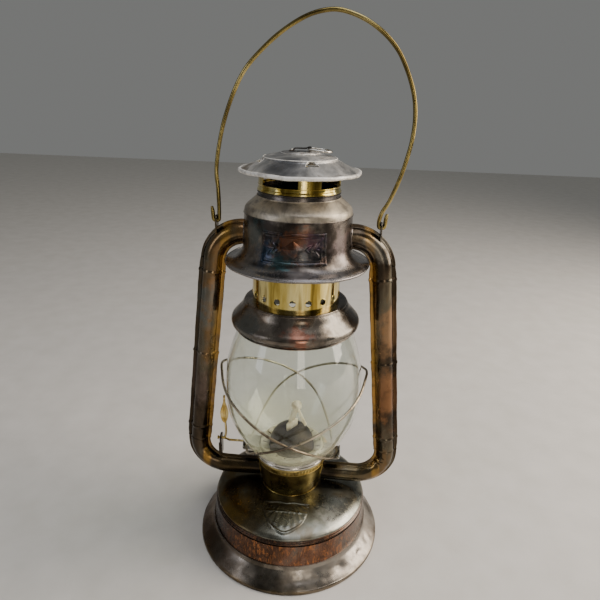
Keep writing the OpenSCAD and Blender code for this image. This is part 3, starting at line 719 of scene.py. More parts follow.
def base_skirt():
    flare = smooth([[84.2, 3.6], [81.5, 6.4], [78, 9.6], [74.8, 12.6], [72.9, 15], [72.4, 17.5],
        [72.35, 18.9]], 6)
    rim = [[81.6, 0], [84.1, 0], [84.7, 0.35], [85, 0.9], [85, 2.9], [84.7, 3.5], [84.1, 4.0], [83.2, 4.2],
        [82.4, 4.2], [81.6, 3.8], [81.1, 3.0], [81.1, 0.7]]

    def shape(angle, radius, height):
        loose = np.clip((84 - radius) / 4, 0, 1) * np.clip((radius - 72.5) / 4, 0, 1)
        knocks = [(-50, 8.5, 5, 4, 1.6), (-30, 7, 4, 3, 1.2), (-74, 9, 4, 3, 0.9), (-112, 8, 6, 4, 0.9),
            (10, 8, 6, 4, 1.0), (150, 8, 7, 4, 1.1)]
        row_of_dings = [(-86 + 6.1 * k, 7 + 2.6 * math.sin(2.4 * k), 2.4, 2.2, 0.7) for k in range(13)]
        hollows = dents(angle, height, *knocks, *row_of_dings)
        waves = ripple(angle, ((9, 0.12, 0), (16, 0.1, 2), (27, 0.07, 1)))
        return loose * (hollows + waves - 0.2), loose * 0.3 * waves

    def rim_shape(angle, radius, height):
        upper = np.clip(height / 4, 0, 1)
        inward = np.minimum(ripple(angle, ((5, 0.16, 0.5), (14, 0.1, 1.5), (31, 0.06, 0))) - 0.3, 0)
        return inward * upper, 0

    piece("base_skirt", [sheet(flare, SHEET_T, FINE_ROUND, shape), revolve(rim, FINE_ROUND, rim_shape)],
        skirt_metal, "frame")


def raised_patch(columns, rows, top, under):
    """A closed relief panel. top and under give XYZ for u and v grids that run from -1 to 1."""
    u, v = np.meshgrid(np.linspace(-1, 1, columns), np.linspace(-1, 1, rows), indexing="ij")
    count = columns * rows
    upper = grid_faces(columns, rows, False, False)
    lower = [tuple(count + i for i in face[::-1]) for face in upper]
    edge = [i * rows for i in range(columns)] + [(columns - 1) * rows + j for j in range(1, rows)]
    edge += [i * rows + rows - 1 for i in range(columns - 2, -1, -1)] + list(range(rows - 2, 0, -1))
    walls = [(a, b, count + b, count + a) for a, b in zip(edge, edge[1:] + edge[:1])]
    verts = np.vstack([np.stack(f(u, v), 2).reshape(-1, 3) for f in (top, under)])
    return verts, upper + lower + walls


def ridge(distance, width):
    """Height of a rounded ridge at a distance from its middle line."""
    return np.clip(1 - (distance / width) ** 2, 0, 1) ** 1.5


def fount_badge():
    """A plain crest with a rim and a fan of ribs, pressed up from the dome."""
    top_edge = [[-20.5, 0], [-13.5, 0.6], [-6, 1.8], [0, 0.6], [6, 1.8], [13.5, 0.6], [20.5, 0]]
    low_edge = [[-20.5, -1.8], [-19.4, -11], [-15, -21], [-7.5, -28.5], [0, -31.5], [7.5, -28.5], [15, -21],
        [19.4, -11], [20.5, -1.8]]
    top_line, low_line = smooth(top_edge, 6), smooth(low_edge, 6)

    def place(u, v):
        x = 20.4 * np.sin(u * math.pi / 2)
        high = np.interp(x, top_line[:, 0], top_line[:, 1])
        low = np.interp(x, low_line[:, 0], low_line[:, 1])
        return x, -34.5 + low + (high - low) * (v + 1) / 2

    def top(u, v):
        x, y = place(u, v)
        edge = np.minimum(1 - abs(u), (1 - abs(v)) * 0.8)
        rib_angle = np.arctan2(x, -(y + 28))
        fan = ridge((rib_angle * 5) % 1 - 0.5, 0.42) * np.clip((edge - 0.2) / 0.15, 0, 1)
        bar = ridge(y + 45, 1.6) * np.clip((edge - 0.12) / 0.1, 0, 1)
        relief = 0.15 + 0.55 * ridge(edge - 0.09, 0.07) + 0.35 * np.maximum(fan, 1.4 * bar)
        relief = relief * np.clip(edge / 0.03, 0, 1)
        return x, y, dome_height(np.hypot(x, y)) + relief

    def under(u, v):
        x, y = place(u, v)
        return x, y, dome_height(np.hypot(x, y)) - 0.7

    piece("fount_crest", [raised_patch(90, 90, top, under)], fount_metal, "frame", ["fount_badge"],
        crease=60)


# ---------------------------------------------------------------- air cup and side tubes

TUBE_R = 7.75
TUBE_WALL = 0.75
FIN_T = 1.2
STRAIGHT_FIN = 11.3
ARM_FIN = 10.5
SPLAY = math.radians(5.8)
ELBOW_R = 26
HOOD_END, CUP_END = 40.5, 29     # X of the arms' ends inside the hood and the air cup
UPPER_ARM_Z = 291
LOWER_ARM_Z = 64.4
BEADS = (257.8, 183.4, 108.1)
CUP_LINE = smooth([[26.6, 53.8], [27.4, 59], [28.8, 67], [30, 75.5], [30.9, 81], [31.4, 84.2]], 9)


def tube_x(z):
    """X of the straight tubes' middle line at a height."""
    return 69.8 + (BEADS[0] - z) * math.tan(SPLAY)


UPPER_BEND = (tube_x(UPPER_ARM_Z - ELBOW_R) - ELBOW_R / math.cos(SPLAY), UPPER_ARM_Z - ELBOW_R)
LOWER_BEND = (tube_x(LOWER_ARM_Z + ELBOW_R) - ELBOW_R / math.cos(SPLAY), LOWER_ARM_Z + ELBOW_R)
UPPER_BEND_END = UPPER_BEND[1] + ELBOW_R * math.sin(SPLAY)
LOWER_BEND_END = LOWER_BEND[1] + ELBOW_R * math.sin(SPLAY)


def across_tube(look, low, high):
    """0 to 1 between two distances outwards from the straight tubes' middle line, in millimetres."""
    split = look.nodes.new("ShaderNodeSeparateXYZ")
    look.links.new(look.coords, split.inputs[0])
    lean = look.times(split.outputs[2], math.tan(SPLAY))
    out = look.plus(look.maths("ABSOLUTE", split.outputs[0], 0), lean)
    return look.remap(out, (tube_x(0) + low) * MM, (tube_x(0) + high) * MM)


def tube_bronze():
    """Dark bronzed sheet, golden along the inner fins and coppery along the right tube, whose pale copper
    spots on the outer side are painted highlight; the outer flanks carry painted shade.
    """
    look = aged_metal("bronzed_tube", "tube_bronze", [(0.0, "27231e"), (0.3, "3b332a"), (0.5, "4f4437"),
        (0.66, "605a4c"), (0.8, "715a3e"), (0.92, "8f7050"), (1.0, "556062")], patch=15, rough=(0.14, 0.28),
        grime="1c1713", grime_share=0.38, relief=0.14, stretch=(1, 1, 0.4),
        # The first two spots, pale copper on the right tube's outer side, are painted highlight.
        spots=((86, -8, 150, 34, "a87852", 0.5), (80, -8, 215, 30, "ac8460", 0.5),
        (-68, -7, 232, 26, "5a7074", 0.5), (-80, -8, 150, 30, "74665f", 0.5),
        (-54, -6, 289, 18, "7a6440", 0.5), (62, -4, 286, 20, "8c877c", 0.5), (60, -6, 66, 26, "5d5136", 0.5),
        (-60, -6, 66, 26, "54462c", 0.5)))
    metal = look.feeding("Base Color")
    fin = look.times(across_tube(look, -5, -7.5), across_tube(look, -15, -11.5))
    gold = look.times(fin, look.remap(look.noise(40, 5, 0.6), 0.35, 0.6))
    metal = look.wash(gold, 0.75, metal, "a9823e")
    # Painted shade: the outer flanks of both tubes are darkened.
    edge = look.times(across_tube(look, 6.5, 8.5), 0.6)
    look.set(Base_Color=look.mix(edge, metal, "2c2218"))
    return look.material


tube_metal = tube_bronze()


def seamed_section(grow_out, grow_in, grow=0.0, lip=0.22):
    """A tube's outer outline with a crimped fin on each side, whose edges are rolled a little."""
    radius, half_t = TUBE_R + grow, FIN_T / 2 + grow * 0.8
    root = math.degrees(math.asin(half_t / radius)) + 4
    points = []
    for side, reach in ((1, grow_out), (-1, grow_in)):
        tip = reach + grow
        fin = [[radius + 0.5, half_t + 0.12], [tip - 1.6, half_t], [tip - 0.9, half_t + lip],
            [tip - 0.25, half_t + lip * 0.6], [tip, half_t * 0.45]]
        outline = [[x, -y] for x, y in fin] + [[x, y] for x, y in fin[::-1]]
        points += [[side * x, side * y] for x, y in outline]
        points += list(side * arc((0, 0), radius, root, 180 - root, 22))
    return np.array(points)


def tube_route():
    """Stations along the right side tube from the hood to the air cup, as [x, z, fin reach, swelling]."""
    rows = []
    past = math.degrees(math.asin((UPPER_BEND[0] - HOOD_END) / ELBOW_R))
    for x, z in arc(UPPER_BEND, ELBOW_R, 90 + past, math.degrees(SPLAY), 44):
        rows.append([x, z, ARM_FIN, 0])
    for z in np.linspace(UPPER_BEND_END, LOWER_BEND_END, 330)[1:-1]:
        band = max([ridge(z - (b - 1), 1.7) for b in (*BEADS, LOWER_BEND_END + 1.2)])
        near_end = min((UPPER_BEND_END - z) / 6, (z - LOWER_BEND_END) / 6, 1)
        rows.append([tube_x(z), z, ARM_FIN + (STRAIGHT_FIN - ARM_FIN) * near_end, 0.5 * band])
    for x, z in arc(LOWER_BEND, ELBOW_R, math.degrees(SPLAY), -90, 44):
        rows.append([x, z, ARM_FIN, 0])
    for x in np.linspace(LOWER_BEND[0], CUP_END, 14)[1:]:
        rows.append([x, LOWER_ARM_Z, ARM_FIN, 0])
    return np.array(rows)


def tube_piece(name, side, first, last, seed, hollows):
    """The stretch of a side tube between two stations. side is 1 on the right and -1 on the left."""
    rows = tube_route()[first:last + 1]
    path = np.stack([rows[:, 0], np.zeros(len(rows)), rows[:, 1]], 1)
    draw = np.random.default_rng(seed)
    phases = draw.uniform(0, TURN, 6)
    along = np.r_[0, np.cumsum(np.linalg.norm(np.diff(path, axis=0), axis=1))]
    outer = []
    for (x, z, reach, swell), s in zip(rows, along):
        wave = 0.12 * math.sin(s * 0.21 + phases[0]) + 0.04 * math.sin(s * 0.7 + phases[1])
        wave2 = 0.12 * math.sin(s * 0.17 + phases[2]) + 0.04 * math.sin(s * 0.6 + phases[3])
        section = seamed_section(reach - 0.3 + wave, reach - 0.3 + wave2, swell)
        angle = np.arctan2(section[:, 1], section[:, 0])
        body = np.clip((TUBE_R + 1 - np.hypot(section[:, 0], section[:, 1])) / 0.6, 0, 1)
        push = 0.06 * np.sin(s * 0.31 + 2 * angle + phases[4]) - 0.06
        for at, facing, long, wide, depth in hollows:
            turn = (angle - math.radians(facing) + math.pi) % TURN - math.pi
            push = push - depth * np.exp(-((s - at) / long) ** 2 - (turn / math.radians(wide)) ** 2)
        section = section * (1 + (push * body / TUBE_R)[:, None])
        outer.append(section)
    outer = np.array(outer)
    count = outer.shape[1]
    bore = arc((0, 0), TUBE_R - TUBE_WALL, -6, 354 - 360 / count, count - 1)
    inner = np.repeat(bore[None], len(rows), 0)
    verts, _ = sweep(path, outer)
    inner_verts, _ = sweep(path, inner)
    total = len(verts)
    faces = grid_faces(len(rows), count, False, True)
    faces += [tuple(total + i for i in face[::-1]) for face in grid_faces(len(rows), count, False, True)]
    for row in (0, len(rows) - 1):
        for k in range(count):
            a, b = row * count + k, row * count + (k + 1) % count
            faces.append((a, b, total + b, total + a))
    part = (np.vstack([verts, inner_verts]) * (side, 1, 1), faces)
    piece(name, [part], tube_metal, "frame", crease=75)


def side_tubes():
    rows = tube_route()
    near = [int(np.argmin(abs(rows[:, 1] - z))) for z in (UPPER_BEND_END, BEADS[1], LOWER_BEND_END)]
    cuts = [0, *near, len(rows) - 1]
    names = ("upper_elbow", "upper_tube", "lower_tube", "lower_elbow")
    marks = {("right", "upper_elbow"): [(14, 95, 7, 40, 0.5)], ("right",
        "upper_tube"): [(40, -100, 12, 35, 0.5)], ("right", "lower_tube"): [(30, -70, 10, 40, 0.45),
        (66, -110, 9, 30, 0.4)], ("right", "lower_elbow"): [(9, -60, 2.2, 60, 1.1), (16, -80, 2.5, 60, 0.9),
        (40, 90, 9, 40, 0.4)], ("left", "upper_elbow"): [(22, 90, 8, 40, 0.4)],
        ("left", "upper_tube"): [(24, -90, 9, 40, 0.5), (60, -70, 10, 30, 0.4)],
        ("left", "lower_tube"): [(45, -100, 12, 40, 0.5)], ("left", "lower_elbow"): [(12, -70, 3, 50, 0.6),
        (34, -90, 8, 40, 0.4)]}
    for which, side in (("left", -1), ("right", 1)):
        for index, name in enumerate(names):
            tube_piece(f"{which}_{name}", side, cuts[index], cuts[index + 1], 10 * side + index + 20,
                marks[which, name])


def sleeve(radius_at, height, side, grow, thick):
    """A bead of solder round the place where an arm enters an upright round wall."""
    path = []
    for angle in np.linspace(0, TURN, 72, endpoint=False):
        reach = TUBE_R + grow
        y, z = reach * math.cos(angle), reach * math.sin(angle)
        wall = radius_at(height + z)
        path.append([side * (math.sqrt(wall ** 2 - y ** 2) + 0.25), y, height + z])
    scale = 1 + 0.25 * np.sin(np.arange(72) * TURN / 72 * 5 + side)
    return wire(path, thick, up=(1, 0.02, 0.03), closed=True, scale=scale, sides=10)


def air_cup():
    def shape(angle, radius, height):
        crimp = np.clip((height - 79.3) / 0.6, 0, 1) * np.clip((84.6 - height) / 0.8, 0, 1)
        fold = 0.26 * np.sin(58 * angle + 1.6 * np.sin(5 * angle)) - 0.15
        soft = ripple(angle, ((3, 0.12, 0), (7, 0.08, 1))) * np.clip((80 - height) / 8, 0, 1) - 0.05
        return crimp * fold + soft, 0

    rim = [[30.5, 84], [31.4, 83.5], [32.1, 83.9], [32.6, 84.7], [32.6, 85.3], [32.2, 85.9], [31.4, 86],
        [30.9, 85.6], [30.6, 85.2]]
    foot = [[19.2, 53.8], [27.2, 53.8], [27.4, 54.1], [27.1, 54.6], [19.2, 54.6]]
    groove = bead(30.75, 79.2, 0.45, ROUND)

    def cup_at(z):
        return float(np.interp(z, CUP_LINE[:, 1], CUP_LINE[:, 0]))

    sleeves = [sleeve(cup_at, LOWER_ARM_Z, side, 0.2, 0.6) for side in (-1, 1)]
    piece("air_cup", [sheet(CUP_LINE, SHEET_T, 348, shape), revolve(rim, ROUND), revolve(foot), groove]
        + sleeves, cup_metal, "frame")


# ---------------------------------------------------------------- hood and chimney

HOOD_LINE = smooth([[58, 269.3], [55, 271.2], [50, 273], [46, 276], [43.6, 281], [42.6, 290], [42.5, 303],
    [42.2, 310.5], [41.5, 313], [40, 314.8], [36, 318.3], [32.2, 321.6]], 7)


HOOD_WAVES = ((3, 0.3, 0.5), (5, 0.22, 2), (8, 0.12, 1), (13, 0.07, 0))


def hood_radius(z):
    return np.interp(z, HOOD_LINE[:, 1], HOOD_LINE[:, 0])


def hood():
    def shape(angle, radius, height):
        flange = np.clip((radius - 44) / 6, 0, 1)
        shoulder = np.clip((height - 311) / 3, 0, 1) * np.clip((321 - height) / 2, 0, 1)
        waves = ripple(angle, HOOD_WAVES)
        hollows = dents(angle, height, (-120, 313, 12, 4, 0.5), (-60, 285, 9, 5, 0.4), (70, 300, 18, 9, 0.5))
        return hollows * (1 - flange) - 0.05, flange * waves + shoulder * 0.35 * waves

    lip = bead(57.6, 269.9, 0.62, ROUND, lambda angle, radius, height: (0, ripple(angle, HOOD_WAVES)))
    neck = bead(32.3, 321.5, 0.55)
    step = bead(42.25, 308.6, 0.55, ROUND)

    sleeves = [sleeve(hood_radius, UPPER_ARM_Z, side, 0.25, 0.65) for side in (-1, 1)]
    lap = ribbon([[-42.7 * math.sin(0.05), 42.7, z] for z in np.linspace(283, 307, 12)], 5, 0.5,
        up=(1, 0, 0))
    piece("hood", [sheet(HOOD_LINE, SHEET_T, ROUND, shape), lip, neck, step, lap] + sleeves, hood_metal,
        "frame")


def hood_cartouche():
    """A pressed panel with a raised frame, a cut diamond and a leaf spray on each side."""
    half_w, half_h, middle = 25, 12, 289.5

    def height_of(s, t):
        edge = np.minimum(half_w - abs(s), half_h - abs(t))
        frame_line = ridge(edge - 1.4, 1.3)
        inner_line = 0.45 * ridge(edge - 3.6, 0.5)
        diamond = np.clip(1 - (abs(s) / 8.5 + abs(t) / 6.5), 0, 1) ** 0.7
        leaves = 0
        for at, lean in ((12.2, 0.5), (16.6, 0.8), (12.2, -0.5), (16.6, -0.8)):
            across, up = abs(s) - at, t - 3.6 * lean
            turned_s = across * math.cos(lean) + up * math.sin(lean)
            turned_t = -across * math.sin(lean) + up * math.cos(lean)
            leaves = np.maximum(leaves, 0.8 * ridge(np.hypot(turned_s / 4.2, turned_t / 1.5), 1.0))
        stem = 0.6 * ridge(t, 0.6) * np.clip((19.5 - abs(s)) / 1, 0, 1) * np.clip((abs(s) - 8) / 1, 0, 1)
        relief = np.maximum.reduce([frame_line, inner_line, diamond, leaves, stem])
        return 0.12 + 0.68 * relief * np.clip(edge / 0.25, 0, 1)

    def skin(u, v, out):
        s, t = u * half_w, v * half_h
        angle = -math.pi / 2 + s / 42.5
        radius = hood_radius(middle + t) + out(s, t)
        return radius * np.cos(angle), radius * np.sin(angle), middle + t

    part = raised_patch(220, 110, lambda u, v: skin(u, v, height_of), lambda u,
        v: skin(u, v, lambda s, t: -0.5 + 0 * s))
    piece("hood_cartouche", [part], panel_metal, "frame", crease=70)


def chimney_parts():
    guide = [revolve([[31.6, 306], [31.6, 325.3], [31.3, 325.7], [31.0, 325.4], [31.0, 306]], 128),
        revolve([[35.2, GUIDE_SHOULDER], [35.2, 317.6], [31.4, 317.6], [31.4, GUIDE_SHOULDER]], 128),
        bead(31.9, 324.8, 0.45, 160)]
    piece("chimney_guide", guide, dark_metal, "frame")
    tube = [revolve([[30.6, 267.2], [30.6, 329], [29.8, 329], [29.8, 267.2]], 144),
        revolve([[35.7, 267.2], [35.7, 268], [29.8, 268], [29.8, 267.2]], 144)]
    piece("chimney_tube", tube, dark_metal, "chimney")


SPRING_R, SPRING_WIRE = 33.6, 0.75
SPRING_FOOT, GUIDE_SHOULDER = 269.2, 316.8
SPRING_TURNS = 8


def chimney_spring():
    """A coil with two closed end turns, pressed together as the chimney lifts."""
    turns = np.linspace(0, SPRING_TURNS, SPRING_TURNS * 28 + 1)
    rise = np.interp(turns, (0, 1, SPRING_TURNS - 1, SPRING_TURNS), (0, 1.8, 44.4, 46.2))
    path = np.stack([SPRING_R * np.cos(TURN * turns), SPRING_R * np.sin(TURN * turns), SPRING_FOOT + rise],
        1)
    thing = piece("chimney_spring", [wire(path, SPRING_WIRE, up=(0, 0, 1), sides=10)], spring_metal, "frame")
    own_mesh(thing)


def globe_bell():
    line = smooth([[49, 212.6], [50.4, 215.4], [52.6, 217], [53.5, 219.4], [52.8, 222.2], [50, 225.4],
        [45.6, 230.6], [43.4, 234.4], [41.4, 237.2]], 7)
    roof = smooth([[41.4, 237.2], [39.6, 237.5], [35.7, 237.5]], 4)

    def shape(angle, radius, height):
        body = np.clip((height - 222) / 3, 0, 1) * np.clip((235 - height) / 3, 0, 1)
        return body * (ripple(angle, ((4, 0.18, 0), (7, 0.1, 1), (12, 0.05, 2))) - 0.1), 0

    parts = [sheet(np.vstack([line, roof[1:]]), SHEET_T, ROUND, shape), bead(49.4, 213.1, 0.6),
        bead(52.5, 217.1, 0.45), bead(41.9, 236.1, 0.6)]
    piece("globe_bell", parts, bell_metal, "chimney")
    seat = revolve([[45.2, 229], [45.2, 229.8], [35.7, 229.8], [35.7, 229]], 144)
    piece("bell_seat", [seat], dark_metal, "chimney")


def draft_ring():
    wall = [[35.7, z] for z in np.linspace(229, 267.2, 20)] + [[34.9, z]
        for z in np.linspace(267.2, 229, 20)]

    def shape(angle, radius, height):
        seam = ridge((angle - 1.9 + math.pi) % TURN - math.pi, 0.03) * 0.3
        return ripple(angle, ((6, 0.05, 0), (11, 0.04, 1))) - 0.07 - seam, 0

    thing = piece("draft_ring", [revolve(wall, FINE_ROUND, shape)], polished_brass, "chimney")
    count, hole_r, hole_z = 18, 2.5, 244.8
    holes, lips = [], []
    for i in range(count):
        turn = Matrix.Rotation(TURN * (i + 0.5) / count, 4, "Z")
        outward = turn @ Matrix.Translation((35.3, 0, hole_z)) @ Matrix.Rotation(math.pi / 2, 4, "Y")
        holes.append(moved(revolve([[0, -5], [hole_r, -5], [hole_r, 5], [0, 5]], 32), outward))
        circle = arc((0, 0), hole_r + 0.12, 0, 345, 23)
        lips.append(moved(wire(np.c_[circle, np.full(24, 0.28)], 0.2, up=(0, 0, 1), closed=True, sides=8),
            outward))
    cut_away(thing, holes)
    piece("draft_hole_lips", lips, polished_brass, "chimney", nodes=())


def cap_collar():
    parts = [sheet(smooth([[32.4, 326], [32.3, 326.6], [32, 327.4], [31.5, 328.2], [31.4, 330.2]], 5),
        SHEET_T), bead(32.0, 326.3, 0.42), bead(31.45, 330.3, 0.4)]
    half = math.radians(16)
    for i in range(4):
        middle = math.radians(-71.5 + 90 * i)
        angles = np.linspace(middle - half, middle + half, 17)
        ring = [[[r * math.cos(a), r * math.sin(a), z] for a in angles] for r,
            z in ((31.4, 329.6), (31.4, 334), (31.3, 340), (31.2, 343.9), (31.0, 346.6), (30.3, 346.6),
            (30.5, 343), (30.6, 340), (30.7, 334), (30.7, 329.6))]
        verts = np.array(ring).reshape(-1, 3)
        faces = grid_faces(10, 17, True, False)
        faces += [tuple(k * 17 for k in range(10)), tuple(k * 17 + 16 for k in range(10))]
        parts.append((verts, faces))
    piece("cap_collar", parts, polished_brass, "chimney")


CAP_LINE = np.vstack([smooth([[45.4, 341.2], [40, 343.4], [35.4, 345.4], [32, 347.0], [29.2, 348.3]], 6),
    smooth([[28.7, 348.9], [28.4, 349.6], [27.6, 350.1], [24, 351.5], [18, 352.6], [14.9, 353.0]], 5),
    smooth([[14.5, 353.3], [14.1, 353.9], [11, 354.1], [6, 354.25], [0.3, 354.4]], 4)])


def cap_shape(angle, radius, height):
    rim = np.clip((radius - 33) / 12, 0, 1.2) ** 1.3
    top = np.clip((28 - radius) / 6, 0, 1)
    return 0, rim * ripple(angle, ((2, 0.3, 0.4), (5, 0.16, 0.3), (9, 0.14, 1.2),
        (17, 0.08, 2))) + top * ripple(angle, ((3, 0.05, 0), (5, 0.04, 1))) - 0.04 * top


def rain_cap():
    rim_points = arc((45.3, 340.2), 1.5, 100, 440 - 26, 13)
    parts = [sheet(CAP_LINE, SHEET_T, FINE_ROUND, cap_shape), revolve(rim_points, FINE_ROUND, cap_shape)]
    thing = piece("rain_cap", parts[:1], cap_metal, "chimney")
    vents, lips = [], []
    for i in range(4):
        turn = Matrix.Rotation(math.radians(-70 + 90 * i), 4, "Z") @ Matrix.Translation((32.6, 0, 0))
        half_moon = arc((0, 0), 4.9, 90, 270, 20)
        low, high = np.c_[half_moon, np.full(21, 338)], np.c_[half_moon, np.full(21, 358)]
        faces = grid_faces(2, 21, False, True) + [tuple(range(21)), tuple(range(21, 42))]
        vents.append(moved((np.vstack([low, high]), faces), turn))
        rim = arc((0, 0), 5.1, 90, 270, 20)
        heights = np.interp(-np.hypot(rim[:, 0] + 32.6, rim[:, 1]), -CAP_LINE[:, 0], CAP_LINE[:, 1])
        lips.append(moved(wire(np.c_[rim, heights - 0.1], 0.28, up=(0, 0, 1), sides=8), turn))
    cut_away(thing, vents)
    tiers = [bead(27.9, 349.85, 0.42, ROUND), bead(14.6, 353.2, 0.3, 160)]
    piece("rain_cap_rim", parts[1:] + tiers, highlit_cap_edge, "chimney", nodes=())
    piece("rain_cap_vent_lips", lips, highlit_cap_edge, "chimney", nodes=())


def ring_clip():
    strap = smooth([[-8.1, 0, 354.85], [-6, 0, 354.9], [-4.9, 0, 355.1], [-4.5, 0, 356.1], [-3.8, 0, 356.5],
        [0, 0, 356.55], [4, 0, 356.6], [5.6, 0, 357.2], [6.8, 0, 357.55], [7.9, 0, 357.1], [8.1, 0, 356.0],
        [7.5, 0, 354.9], [6.4, 0, 354.7]], 4)
    piece("ring_clip", [ribbon(strap, 7, 0.85, up=(0, 1, 0.001))], dark_metal, "chimney")
    head = [[0, 355.2], [1.25, 355.2], [1.2, 355.5], [0.9, 355.9], [0.5, 356.1], [0, 356.15]]
    rivets = [moved(revolve(head, 24), Matrix.Translation((-6.6, y, 0))) for y in (-1.8, 1.8)]
    piece("clip_rivets", rivets, plate_metal, "chimney")


def lift_ring():
    half_w, reach, radius = 7.4, 9.5, 0.9
    bow = [[reach + half_w * math.cos(math.radians(a)), half_w * math.sin(math.radians(a)), 0]
        for a in range(-90, 91, 10)]
    corner = [[0.0, -half_w + 1.4, 0], [0.3, -half_w + 0.45, 0], [1.4, -half_w, 0],
        [reach * 0.5, -half_w, 0]]
    half = corner + bow + [[x, -y, z] for x, y, z in corner[::-1]]
    path = half + [[0, y, 0] for y in np.linspace(half_w - 2.4, -half_w + 2.4, 9)]
    tilt = Matrix.Translation((6.6, 0, 356.2)) @ Matrix.Rotation(math.radians(5), 4, "Y")
    ring = wire(smooth(path, 3, closed=True), radius, up=(0, 0, 1), closed=True, sides=14)
    piece("lift_ring", [moved(ring, tilt)], plate_metal, "lift_ring")


# ---------------------------------------------------------------- globe carriage

PLATE_Z = 86.3
LUG_X = 42.5
GUARD_R = 1.1


def globe_plate():
    rim = smooth([[29.1, 86.4], [32.6, 86.35], [33.15, 87.1], [33, 88.2], [32.55, 89.1], [32.5, 90.2],
        [32.4, 91.0]], 4)
    parts = [revolve([[29.9, 81], [29.9, 86.5], [29.1, 86.5], [29.1, 81.2], [29.5, 80.95]], 160),
        sheet(rim, 0.7), bead(32.1, 90.8, 0.42), revolve([[32, 90.6], [22, 90.6], [22, 89.8], [32, 89.8]],
        144)]
    piece("globe_plate", parts, plate_metal, "carriage")
    lugs = []
    for side in (1, -1):
        path = smooth([[side * x, side * -2, z] for x, z in ((30.2, 86.8), (34, 86.8), (40, 86.85),
            (43.6, 86.9), (44.5, 87.5), (44.65, 88.8), (44.65, 91))], 5)
        along = np.linspace(0, 1, len(path))
        widths = np.interp(along, (0, 0.45, 0.7, 0.86, 1), (10.4, 9.6, 7.8, 6.0, 5.2))
        sections = np.array([[[s * 0.5, t * w] for s, t in ((1, 1), (-1, 1), (-1, -1), (1, -1))]
            for w in widths])
        lugs.append(sweep(path, sections, up=(0, 1, 0.001)))
    piece("globe_plate_lugs", lugs, plate_metal, "carriage", nodes=())


def gallery():
    line = smooth([[29.2, 90.7], [29.3, 93.2], [28.6, 94.5], [27.6, 94.5], [24, 93.4], [21.6, 91.8],
        [21, 90.8]], 6)
    thing = piece("gallery", [sheet(line, 0.6, ROUND)], gallery_metal, "carriage")
    slots = []
    for i in range(20):
        slot = box_part((22.6, -0.8, 88), (27.2, 0.8, 98))
        slots.append(moved(slot, Matrix.Rotation(TURN * (i + 0.5) / 20, 4, "Z")))
    cut_away(thing, slots)


def globe():
    line = smooth([[31.2, 90.6], [31.3, 91.5], [33.6, 93.5], [39.6, 98.4], [45.4, 106.6], [49.8, 114.2],
        [53.2, 121.8], [56.9, 133], [59, 147], [59.5, 160], [58, 178], [54, 194], [49.5, 207], [46.9, 214.5],
        [45.4, 221], [44.8, 228.7]], 6)

    def shape(angle, radius, height):
        middle = np.clip((height - 95) / 20, 0, 1) * np.clip((218 - height) / 20, 0, 1)
        return middle * (ripple(angle, ((2, 0.18, 0.6), (3, 0.1, 2))) - 0.2), 0

    loop = np.vstack([line, beside(line, 1.8)[::-1]])
    piece("globe", [revolve(loop, ROUND, shape)], globe_glass, "carriage")


def guard_loop(name, spread, side):
    half = [[0, LUG_X, 88.6], [17, 41, 89.6], [38, 43.6, 98], [55, 48.4, 109], [72, 55.2, 121],
        [88, 59.8, 131.5], [105, 61.6, 141], [127, 62.1, 152], [150, 62.2, 161.5], [168, 62.2, 168.5]]
    stations = half + [[180, 63.6, 171.5]] + [[360 - a, r, z] for a, r, z in half[:0:-1]]
    extended = [[a - 360, r, z] for a, r, z in stations[-2:]] + stations + [[a + 360, r, z] for a, r,
        z in stations[:3]]
    line = smooth(extended, 10)[20:20 + 10 * len(stations)]
    angle = np.radians(line[:, 0])
    radius = line[:, 1] + spread * abs(np.sin(angle))
    path = np.stack([side * radius * np.cos(angle), radius * np.sin(angle), line[:, 2]], 1)
    piece(name, [wire(path, GUARD_R, up=(0, 0, 1), closed=True)], guard_metal, "carriage")


def guard_loops():
    """Two crossed loops, of which the left one stands outside the right one at the crossings."""
    guard_loop("right_guard_loop", 0, 1)
    guard_loop("left_guard_loop", 2 * GUARD_R + 0.3, -1)


# ---------------------------------------------------------------- burner, wick and controls

WICK_FOOT = 22.5
WICK_TURN = Matrix.Rotation(math.radians(50), 4, "Z")


def burner():
    line = smooth([[20.2, 86], [20.2, 95], [18.8, 101], [15.5, 106.6], [10, 111.2], [4, 113.4], [0.2, 114]],
        7)
    dome = piece("burner_dome", [sheet(line, 0.6, 144)], burner_metal, "frame")
    cut_away(dome, [moved(box_part((-9, -4.6, 102), (9, 4.2, 122)), WICK_TURN)])
    body_line = smooth([[13.3, 50.5], [13.3, 58], [14.5, 60], [19.4, 65], [21, 68.5], [21, 76], [21, 85],
        [21.9, 85.6], [21.9, 86.4]], 4)
    piece("burner_body", [sheet(body_line, SHEET_T, 128), bead(21.2, 79, 0.3, 128)], burner_metal, "frame")


def bundle(middle_line, count, spread, twist, draw, thin=0.24, thick=0.42):
    """Cotton fibres that wind loosely round a line."""
    fibres = []
    length = np.linspace(0, 1, len(middle_line))
    for _ in range(count):
        phase, reach = draw.uniform(0, TURN), spread * math.sqrt(draw.uniform(0.15, 1))
        waver = draw.normal(0, 0.16, (len(middle_line), 3))
        turn = phase + twist * length * draw.uniform(0.8, 1.2)
        reach = reach * np.minimum(0.4 + 2 * length, 1)
        offset = np.stack([reach * np.cos(turn), reach * np.sin(turn), np.zeros(len(turn))], 1)
        line = smooth((middle_line + offset + waver)[::2], 3)
        fibres.append(wire(line, draw.uniform(thin, thick), up=(0.3, 1, 0.1), sides=6))
    return fibres


